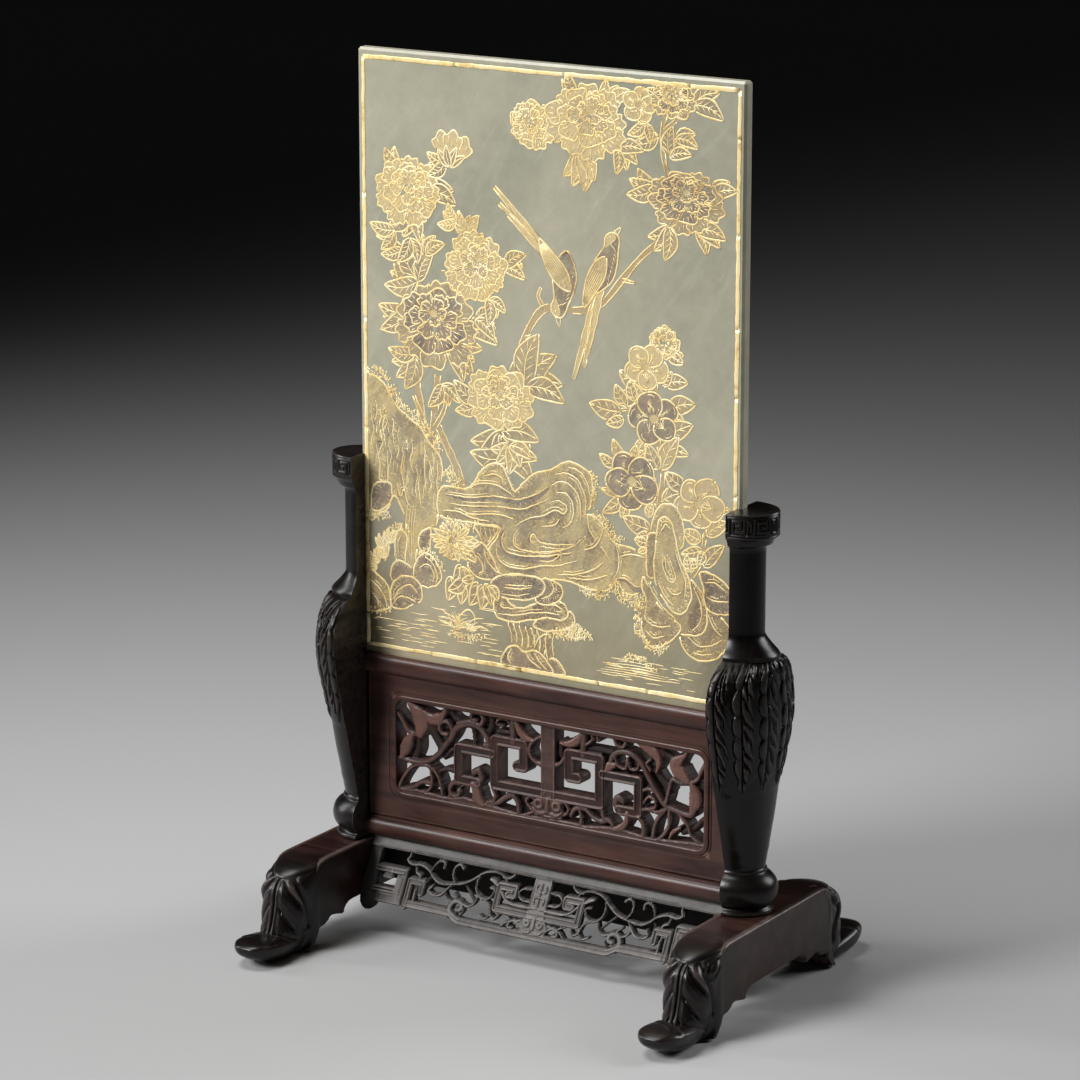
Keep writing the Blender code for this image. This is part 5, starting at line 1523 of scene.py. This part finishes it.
apronSide = dict(
    fret=[(2.5, 0, 16.1, 15.8, 16.1, 15.8, 22.9, 10, 22.9, 10, 20.8, 12.2, 20.8), (2.3, 50.2, 11.2, 50.2, 19, 45.2,
        19, 45.2, 15.8), (1.2, 47.4, 12.6, 47.4, 16.4)],
    vine=[((1.8, 1.3, 1.2), 52.6, 28, 52.6, 26.2, 53.2, 24.8, 51.2, 23.8, 47.6, 24.1, 44.2, 23, 41.6, 21, 38.6, 19.9,
        34, 20.4, 29.6, 21.4, 26.4, 23.2, 23.4, 25.4, 20, 26.4, 16.8, 26.2, 14.4, 25, 13.6, 23.4), ((1.2, 1.8), 15.6,
        25.4, 13.4, 25.4, 11.6, 26.6, 11.2, 28), ((1.1, 1.9), 49.4, 23.9, 48.8, 21.8, 47.2, 21, 46.9, 19.6), ((1.2,
        1.2, 1.7), 43.4, 22.6, 42.6, 24.6, 41, 26.3, 39, 26.2, 38.8, 24.6), (1, 41, 26.3, 40.8, 28), ((1.2, 1.2, 1.8),
        33.2, 20.6, 34.8, 23.2, 34.4, 25.6, 32.8, 26.6, 31.4, 25.6), (1, 33.2, 26.4, 33.4, 28), ((1.2, 1.9, 1.6, 1.8),
        34.2, 20.4, 36, 18.2, 37.8, 16.5, 40.4, 16.1, 42.4, 17.2, 41.6, 18.5), ((1.2, 1.3, 1.6), 36.4, 18, 34.8, 16,
        32.6, 15.4, 31.2, 16.6, 32.4, 17.7), ((1.2, 1.4, 1.2), 24.6, 24.4, 24.9, 21, 23.2, 18.6, 20.6, 17.9, 18.4, 19,
        17.8, 21.2, 19.4, 21.6), ((1.3, 1.6), 23.2, 18.6, 24.2, 16, 26.2, 14.9, 28.6, 15.4), ((1.3, 1.7), 20.6, 18,
        18.2, 16.4, 17, 13.8, 15.2, 12.9, 14, 14.2), (1.3, 17, 14, 18.8, 12.4, 21, 13), (1.3, 28.6, 15.4, 27.6, 13.4,
        28.4, 12), ((1.4, 1.6), 12.6, 10.8, 10.6, 12.6, 8, 13.6, 5.4, 14), (1.3, 12, 14.9, 9.4, 13.6, 9.8, 12), (1.2,
        3.6, 23.6, 6.8, 23.3, 8.3, 21.8, 7, 20.1, 3.4, 19.8, 0, 19.8)],
    leaf=[((1.4, 2.6, 1.4), 20, 24.2, 18.4, 23.8, 16.6, 22.6)],
    low=[(1.3, 30, 21.2, 26, 17.6, 24.4, 16), (1.2, 44.6, 19, 42.6, 22)])
apronCorner = dict(
    board=[(0, 51.8, 10.9, 62.2, 10.9, 62.2, 14.2, 55.8, 14.2, 55.8, 20.2, 51.8, 20.2), (0, 63.4, 12.5, 68.4, 12.5,
        68.4, 26.9, 64, 26.9, 64, 20.6, 63.4, 18)],
    fret=[(2.2, 52.9, 14, 52.9, 21.1, 64.6, 21.1), (1.5, 58, 21, 58, 19, 60.6, 19), (2, 56, 14.9, 64, 14.9)],
    knob=[(7, 64.7, 11.4, 64.9, 11.5)])
apronMiddle = dict(
    board=[(0, 51.5, 13.3, 46, 13.3, 33.2, 13.2, 31.2, 12.4, 29.4, 11.4, 27.6, 11.2, -27.6, 11.2, -29.4, 11.4, -31.2,
            12.4, -33.2, 13.2, -46, 13.3, -51.5, 13.3, -51.5, 10.9, -32.4, 10.7, -30.6, 9.6, -28.6, 8.9, 28.6, 8.9,
            30.6, 9.6, 32.4, 10.7, 51.5, 10.9),
           (0, -69, 27.2, 69, 27.2, 69, 31.2, -69, 31.2),
           (0, -3.7, 15.4, 3.7, 15.4, 3.4, 28, -3.4, 28),
           (0, -5.2, 10.2, 5.2, 10.2, 5.6, 13.4, 3.6, 16.2, -3.6, 16.2, -5.6, 13.4)],
    fret=[(1.1, -51, 27.9, 51, 27.9)],
    boss=[(0.8, -1.7, 19.8, -1.7, 21.6, 1.7, 21.6, 1.7, 19.8),
          (0.8, 0, 19.4, 0, 25.8),
          (0.8, -1.7, 25.4, -1.7, 23.6, 1.7, 23.6, 1.7, 25.4),
          ((1.6, 1.9), 0, 15.8, 0, 12.6),
          (0.9, -15, 21.4, -11.4, 18.6, -5, 18.2, 0, 18.6, 5, 18.2, 11.4, 18.6, 15, 21.4)])
apronCurls = dict(
    boss=[(1.5, *curled(2.5, 13.9, 0.8, 300)), ((1.4, 0.9), 0.9, 11.5, 2.6, 11.2, 4.2, 12.2)],
    vine=[(1.3, 4.8, 12.2, 7, 13.6, 9, 13.2, 9.4, 11.6, 8, 11.4),
          ((2.6, 2, 1.8), 32.2, 11.6, 33, 13.6, 31.6, 15.6, 29.2, 15.5, 28.6, 13.7, 30.2, 13.2)])


def thinned(strokes, amount=0.66, least=0.78):
    # the vines of the apron are finer than those of the panel
    return [(kind, width if kind == "fret" else tuple(np.maximum(np.atleast_1d(width) * amount, least)), points)
            for kind, width, points in strokes]


def slope(z):
    return apron["topY"] + (apron["top"] - z) * apron["lean"]


def onApron(x, z, rise):
    return (x, -max(slope(z) + rise, apron["gap"]), z)


def backBoard():
    # a plain board closes the stand behind the apron; its near-black colour is painted shade
    foot, top, gap, deep = apron["boardFoot"], apron["top"], apron["gap"], apron["boardDepth"]
    reach, start = slope(foot), apron["topY"]
    meets = top - (gap + deep - start) / apron["lean"]
    ring = [(gap, top), (start - 0.15, top), (start + 0.05, top - 0.25)]
    ring += [(slope(z), z) for z in np.linspace(top - 0.6, foot + 0.6, 24)]
    ring += [(reach - 0.12, foot + 0.15), (reach - 0.4, foot), (reach - deep + 0.4, foot), (reach - deep, foot + 0.3)]
    ring += [(slope(z) - deep, z) for z in np.linspace(foot + 0.9, meets - 0.1, 18)]
    ring += [(gap, meets + 0.2), (gap, (meets + top) / 2)]
    rings = []
    for x in np.linspace(-apron["end"], apron["end"], 96):
        wob = 0.05 * waveNoise(np.array([z for y, z in ring]), np.full(len(ring), x), 6, 8)
        rings.append([(x, y - abs(w) * (y > start + 0.3), z) for (y, z), w in zip(ring, wob)])
    verts, faces = ringSkin(rings)
    piece = addMesh("plainBoardBack", verts, outward(verts, faces), woods["backHardwoodInShade"], 40)
    settle(piece, "worn_hardwood", "apron_back")


def buildAprons():
    wood, depth, step, end = [woods["wornHardwood"]], apron["depth"], apron["step"], apron["end"]
    strokes = thinned(laidOut(apronSide, -1) + laidOut(apronSide)) + laidOut(apronMiddle)
    strokes += laidOut(apronCurls, -1) + laidOut(apronCurls)
    piece = cutOut("carvedApronFront", (-68.6, 68.6, 8.4, 30.8), strokes, onApron, depth, wood,
                   (-end, end, apron["low"], apron["top"]), step)
    settle(piece, "worn_hardwood", "apron_front")
    for hand, node, sign in (("Left", "apron_corner_front_left", -1), ("Right", "apron_corner_front_right", 1)):
        near, far = sorted((sign * apron["seam"], sign * end))
        grid = (*sorted((sign * 51.6, sign * 68.7)), 7.4, 27.2)
        # painted shade: the wood darkens towards the foot
        piece = cutOut("apronCornerFront" + hand, grid, laidOut(apronCorner, sign), onApron, depth, wood,
                       (near, far, apron["cornerLow"], apron["cornerTop"]), step, (59.5, 63.5))
        settle(piece, "worn_hardwood", node)
    backBoard()


buildAprons()
print("aprons made")

# feet: a board on edge with an arch below, and at each end a leaf-wrapped leg, knee cap and upturned toe

foot = dict(inner=68.7, outer=85.7, arris=0.85, legRows=94, legColumns=126, legHalf=8.45, capColumns=84, toeRows=46,
            toeColumns=44)
# half of the board's outline, from the middle of its underside round the end to the middle of its top
footBoard = (0, 11.2, 8, 11.2, 14.5, 11.2, 16.6, 11, 18.3, 10.1, 19.5, 8.9, 19.6, 7.9, 20.6, 7.7, 23.9, 8.5, 26, 8.9,
             27.6, 8.8, 29.2, 7.6, 31, 6.8, 32.6, 6.7, 33.9, 6.5, 35.1, 4.8, 36.2, 4.2, 37, 5, 37.2, 9, 37.2, 16, 37,
             22, 36.5, 25.4, 35.8, 27.2, 34.8, 28.4, 33.3, 29.3, 31.2, 29.85, 28.5, 30, 18, 30, 8, 30, 0, 30)
# height, half width, back, start of the rounding, front
legTable = [(0.9, 4.6, 38.6, 45, 52.4), (3.2, 6.3, 36.4, 42.5, 53), (5.6, 7, 35, 40.8, 52.6),
            (8.4, 7.25, 34.6, 40, 51), (11.2, 7.45, 34.6, 39.6, 49.8), (16.5, 7.9, 35, 38.6, 48.4),
            (20.5, 8.3, 35, 37.6, 47.7), (23, 8.4, 34.5, 36.8, 46.8), (25, 8.4, 34, 35.8, 45.1),
            (26.4, 8.35, 33, 34.8, 43.2), (27.6, 8.2, 32, 33.6, 40.7), (28.6, 7.7, 31.5, 32.6, 38),
            (29.2, 6.8, 31, 31.8, 35.2), (29.4, 4.8, 30.5, 31.2, 33)]
capTable = [(24.4, 5.6, 30, 33, 42), (25.2, 6.9, 29, 33.4, 44.3), (25.9, 7.7, 28, 33.8, 44.8),
            (26.7, 8.2, 28, 33.6, 44.3), (27.6, 8.4, 27.6, 33, 42.9), (28.4, 8.35, 27.4, 32, 41.2),
            (29.1, 8, 27.2, 31, 39), (29.6, 7.5, 27, 30.2, 36.8), (30, 6.6, 26.8, 29.2, 34.4),
            (30.2, 5.2, 26.6, 28.6, 32.2), (30.24, 3.4, 26.8, 28.2, 30.2)]
# distance out, half width, underside, top
toeTable = [(37.6, 4.2, 0.9, 3), (39.5, 5.4, 0.1, 4.4), (43, 6.8, 0, 6.2), (48, 7.6, 0, 7.6),
            (53, 7.9, 0, 8.4), (57, 7.7, 0.7, 8.8), (60.4, 7, 1.9, 8.9), (63, 5.6, 3.2, 8.5),
            (64.7, 3.9, 4.3, 7.9), (65.4, 2.3, 5.1, 7.3), (65.6, 0.8, 5.7, 6.7)]


def evenRows(table, steps, count):
    rows = smoothPath(table, steps)
    return rows[np.linspace(0, len(rows) - 1, count).astype(int)]


def footBoardShell(centre):
    half = pairs(footBoard)
    loop = np.vstack([half, half[-2:0:-1] * (-1, 1)])
    loop = np.vstack([a + (b - a) * t / n for a, b in zip(loop, np.roll(loop, -1, 0))
                      for n in [max(1, int(np.hypot(*(b - a)) / 0.8))] for t in range(n)])
    d = np.roll(loop, -2, 0) - np.roll(loop, 2, 0)
    inward = np.column_stack([-d[:, 1], d[:, 0]]) / np.hypot(d[:, 0], d[:, 1])[:, None]
    r = foot["arris"]
    wide = (foot["outer"] - foot["inner"]) / 2
    # across the board: a rounded arris, the flat and the other arris
    turns = np.linspace(0.2, math.pi / 2, 5)
    bend = [(wide, r)] + [(wide - r * (1 - math.cos(t)), r * (1 - math.sin(t))) for t in turns]
    middle = [(x, 0.0) for x in np.linspace(-wide + 2.2, wide - 2.2, 7)]
    rings = [(-x, inset) for x, inset in bend] + middle + bend[::-1]
    out, marks = [], []
    for x, inset in rings:
        p = loop + inward * inset
        wob = 0.05 * waveNoise(p[:, 0], p[:, 1] + x, 11, 7)
        out.append(np.column_stack([np.full(len(p), centre + x), p[:, 0], p[:, 1] + wob * (p[:, 1] > 20)]))
        onArris = (abs(x) > wide - 1.1) * (inset < r * 0.98)
        marks.append(onArris * (0.35 + 0.35 * waveNoise(p[:, 0], p[:, 1], 13, 3)) * ease(22, 26, p[:, 1]))
    return *ringSkin(out), np.concatenate(marks)


def leafLegRelief(s, z, side):
    # a soft leaf wraps the leg: cut midrib, lobes falling away to each side, a rolled edge and a curl at the corner
    a = np.abs(s)
    rise = 0.42 * bell(a - 0.85, 0.55) - 0.75 * bell(a, 0.3)
    drift = 0.5 * np.sin(s * 0.55 + z * 0.2)
    p = (28.6 - z - 1.75 * a + 0.045 * a * a + drift) / 8.4
    f = p - np.floor(p)
    lobe = 0.95 * np.sin(math.pi * np.clip(f * 0.9 + 0.02, 0, 1)) ** 0.75 - 0.15
    lobe = lobe + 0.06 * np.cos(2 * math.pi * f * 3.4) * ease(0.12, 0.35, f)
    lobe = lobe - 0.65 * bell(np.minimum(f, 1 - f), 0.055) * ease(1.2, 2.4, a)
    rise = rise + 0.85 * lobe * ease(1.1, 2.4, a) * (1 - ease(9.6, 12.0, a + 0.25 * (z - 14)))
    rolled = smoothPath((2.8, 25.6, 5.2, 23.4, 7.8, 20.2, 10.2, 16.4, 12.2, 12.2, 13.6, 8), 8)
    pick, dist, along, flank = nearPath(a, z, rolled, 3)
    ridge = np.zeros(len(a))
    ridge[pick] = 0.6 * bell(dist, 0.8) - 0.95 * bell(dist * flank - 1.6, 0.8)
    rise = rise + ridge * ease(7.0, 9.5, z)
    curl = np.hypot(a - 11.4, (z - 24.0) * 0.85)
    rise = rise + (s * side > 0) * (bell(curl, 1.5) - 0.6 * bell(curl - 2.5, 0.6))
    return rise * ease(5.6, 9.6, z) * (1 - ease(25.2, 27.0, z)) + 0.12 * ease(3, 8, z)


def aroundLimb(columns, share):
    # which side, whether on the rounded front, the angle there, and how far back along the flank
    t = np.linspace(-1, 1, columns)
    return (np.sign(t), np.abs(t) < share, t / share * math.pi / 2,
            np.clip((np.abs(t) - share) / (1 - share), 0, 1))


def legShell(centre, side, end):
    rings, marks = [], []
    flank, arc, ang, deep = aroundLimb(foot["legColumns"], 0.8)
    for z, half, back, shoulder, front in evenRows(legTable, 24, foot["legRows"]):
        x = np.where(arc, half * np.sin(ang), flank * (half + (foot["legHalf"] - half) * ease(0, 0.8, deep)))
        y = np.where(arc, shoulder + (front - shoulder) * np.abs(np.cos(ang)) ** 0.9,
                     shoulder - (shoulder - back) * deep)
        nx = np.where(arc, np.sin(ang) * (front - shoulder), flank)
        ny = np.where(arc, np.cos(ang) * half, 0.0)
        n = np.hypot(nx, ny)
        walk = np.concatenate([[0], np.cumsum(np.hypot(np.diff(x), np.diff(y)))])
        s = walk - walk[-1] / 2
        level = np.full_like(s, z)
        rise = leafLegRelief(s, level, side) + 0.04 * waveNoise(s, level, 4.5, 12)
        x, y = x + nx / n * rise, y + ny / n * rise
        # the leaf's curl stands out further on the outer side
        x = np.clip(x, -9.5 if side < 0 else -8.55, 8.55 if side < 0 else 9.5)
        rings.append(np.column_stack([centre + x, end * y, level]))
        # raised lobes paler from wear; the low parts of the leaf get painted shade
        worn = np.clip((rise - 0.7) * 0.4, 0, 0.22)
        marks.append(worn + np.clip(rise * 1.1 + 0.05, -0.8, 0) * (np.abs(s) < 15.5))
    return *ringSkin(rings), np.concatenate(marks)


def capShell(centre, side, end):
    # smooth domed knee cap towards the inner side; its lower edge laps the leaf, its back melts into the board
    rings, marks = [], []
    flank, arc, ang, deep = aroundLimb(foot["capColumns"], 0.72)
    for z, half, back, shoulder, front in smoothPath(capTable, 4):
        x = np.where(arc, half * np.sin(ang), flank * (half - 0.35 * deep))
        y = np.where(arc, shoulder + (front - shoulder) * np.cos(ang), shoulder - (shoulder - back) * deep)
        narrow = 0.84 + 0.16 * ease(26.0, 29.4, z)
        x = np.where(x * side > 0, x * narrow, x)
        y = y + 0.05 * waveNoise(x, y, 6, 5)
        sink = 0.3 * ease(34.0, 28.5, y) if z > 29 else 0
        rings.append(np.column_stack([centre + x, end * y, np.full(len(x), z) - sink]))
        marks.append(np.where(arc, 0.1 * bell(z - 26.4, 0.4), 0))
    return *ringSkin(rings), np.concatenate(marks)


def toeShell(centre, side, end):
    # a flattened pad with a soft rim, flat on the floor behind and turned up at the tip
    rings, marks = [], []
    ang = np.linspace(0, 2 * math.pi, foot["toeColumns"], endpoint=False)
    c, s = np.cos(ang), np.sin(ang)
    swell = np.abs(s) ** np.where(s > 0, 0.62, 0.9)
    for reach, half, low, high in evenRows(toeTable, 8, foot["toeRows"]):
        x = half * np.sign(c) * np.abs(c) ** 0.85
        lift = (high - low) * 0.62
        z = low + np.where(s > 0, lift + (high - low - lift) * swell, lift - lift * swell)
        slant = reach - 53.4 - 0.5 * x * side
        crease = (s > 0.25) * (reach < 60.5)
        z = z + (0.22 * bell(slant, 0.6) - 0.3 * bell(slant - 1.3, 0.7)) * crease
        rings.append(np.column_stack([centre + x, np.full(len(x), end * reach), np.maximum(z, 0.0)]))
        marks.append(0.12 * bell(slant, 0.5) * crease)
    return *ringSkin(rings), np.concatenate(marks)


def buildFoot(name, node, side):
    centre = side * (foot["inner"] + foot["outer"]) / 2
    shells = [footBoardShell(centre)]
    shells += [maker(centre, side, end) for end in (-1, 1) for maker in (legShell, capShell, toeShell)]
    verts, faces, wearAndShade = [], [], []
    for v, f, mark in shells:
        faces += [tuple(k + len(verts) for k in face) for face in outward(v, f)]
        wearAndShade += mark.tolist()
        verts += v.tolist()
    settle(addMesh(name, verts, faces, woods["footWood"], 46, wearAndShade), "dark_hardwood", node)


buildFoot("carvedFootLeft", "foot_left", -1)
buildFoot("carvedFootRight", "foot_right", 1)
print("feet made")

# floor, lamps and camera

studio = dict(floor=4000, world=0.009, turn=32.139, tilt=14.512, place=(0.7271, -1.1635, 0.497), lens=146.34)
lamps = {
    "overheadSoft": dict(place=(-0.35, -0.2, 1.15), aim=(0, 0, 0.05), size=(0.45, 0.45), power=1.6, spread=82),
    "rightSoft": dict(place=(0.62, 0.66, 0.56), aim=(0.03, 0, 0.15), size=(0.5, 0.5), power=1.4, spread=84),
    "leftSoft": dict(place=(-0.95, -0.28, 0.42), aim=(0, 0, 0.15), size=(0.14, 0.7), power=2.0, spread=120),
    "frontSoft": dict(place=(-0.66, -1.12, 0.95), aim=(0, -0.05, 0.14), size=(0.5, 0.5), power=3.0, spread=62),
}


def paleFloor():
    s = studio["floor"]
    material, tree, shader = newMaterial("paleFloor")
    soft = noise(stretched(tree), 3, 2, 0.5)
    feed(shader["Base Color"], ramp(soft, (0.3, (0.37, 0.37, 0.372)), (0.7, (0.39, 0.39, 0.392))))
    shader["Roughness"].default_value = 0.75
    addMesh("floor", [(-s, -s, 0), (s, -s, 0), (s, s * 2, 0), (-s, s * 2, 0)], [(0, 1, 2, 3)], material)


def placed(name, data, where, look):
    item = bpy.data.objects.new(name, data)
    bpy.context.scene.collection.objects.link(item)
    item.location = where
    item.rotation_euler = look.to_track_quat("-Z", "Y").to_euler()
    return item


def softbox(name, place, aim, size, power, spread):
    lamp = bpy.data.lights.new(name, "AREA")
    lamp.shape = "RECTANGLE"
    lamp.size, lamp.size_y = size
    lamp.energy = power
    lamp.spread = math.radians(spread)
    placed(name, lamp, place, Vector(aim) - Vector(place)).visible_camera = False


def studioLight():
    for name, lamp in lamps.items():
        softbox(name, **lamp)
    world = bpy.data.worlds.new("studio")
    bpy.context.scene.world = world
    world.use_nodes = True
    back = world.node_tree.nodes["Background"].inputs
    back[0].default_value = (0.8, 0.82, 0.85, 1)
    back[1].default_value = studio["world"]


def placeCamera():
    turn, tilt = math.radians(studio["turn"]), math.radians(studio["tilt"])
    look = Vector((-math.sin(turn) * math.cos(tilt), math.cos(turn) * math.cos(tilt), -math.sin(tilt)))
    lens = bpy.data.cameras.new("view")
    lens.sensor_width = 36
    lens.lens = studio["lens"]
    lens.clip_start = 0.05
    bpy.context.scene.camera = placed("view", lens, studio["place"], look)
    bpy.context.scene.view_settings.view_transform = "Standard"


paleFloor()
studioLight()
placeCamera()
print("studio made")
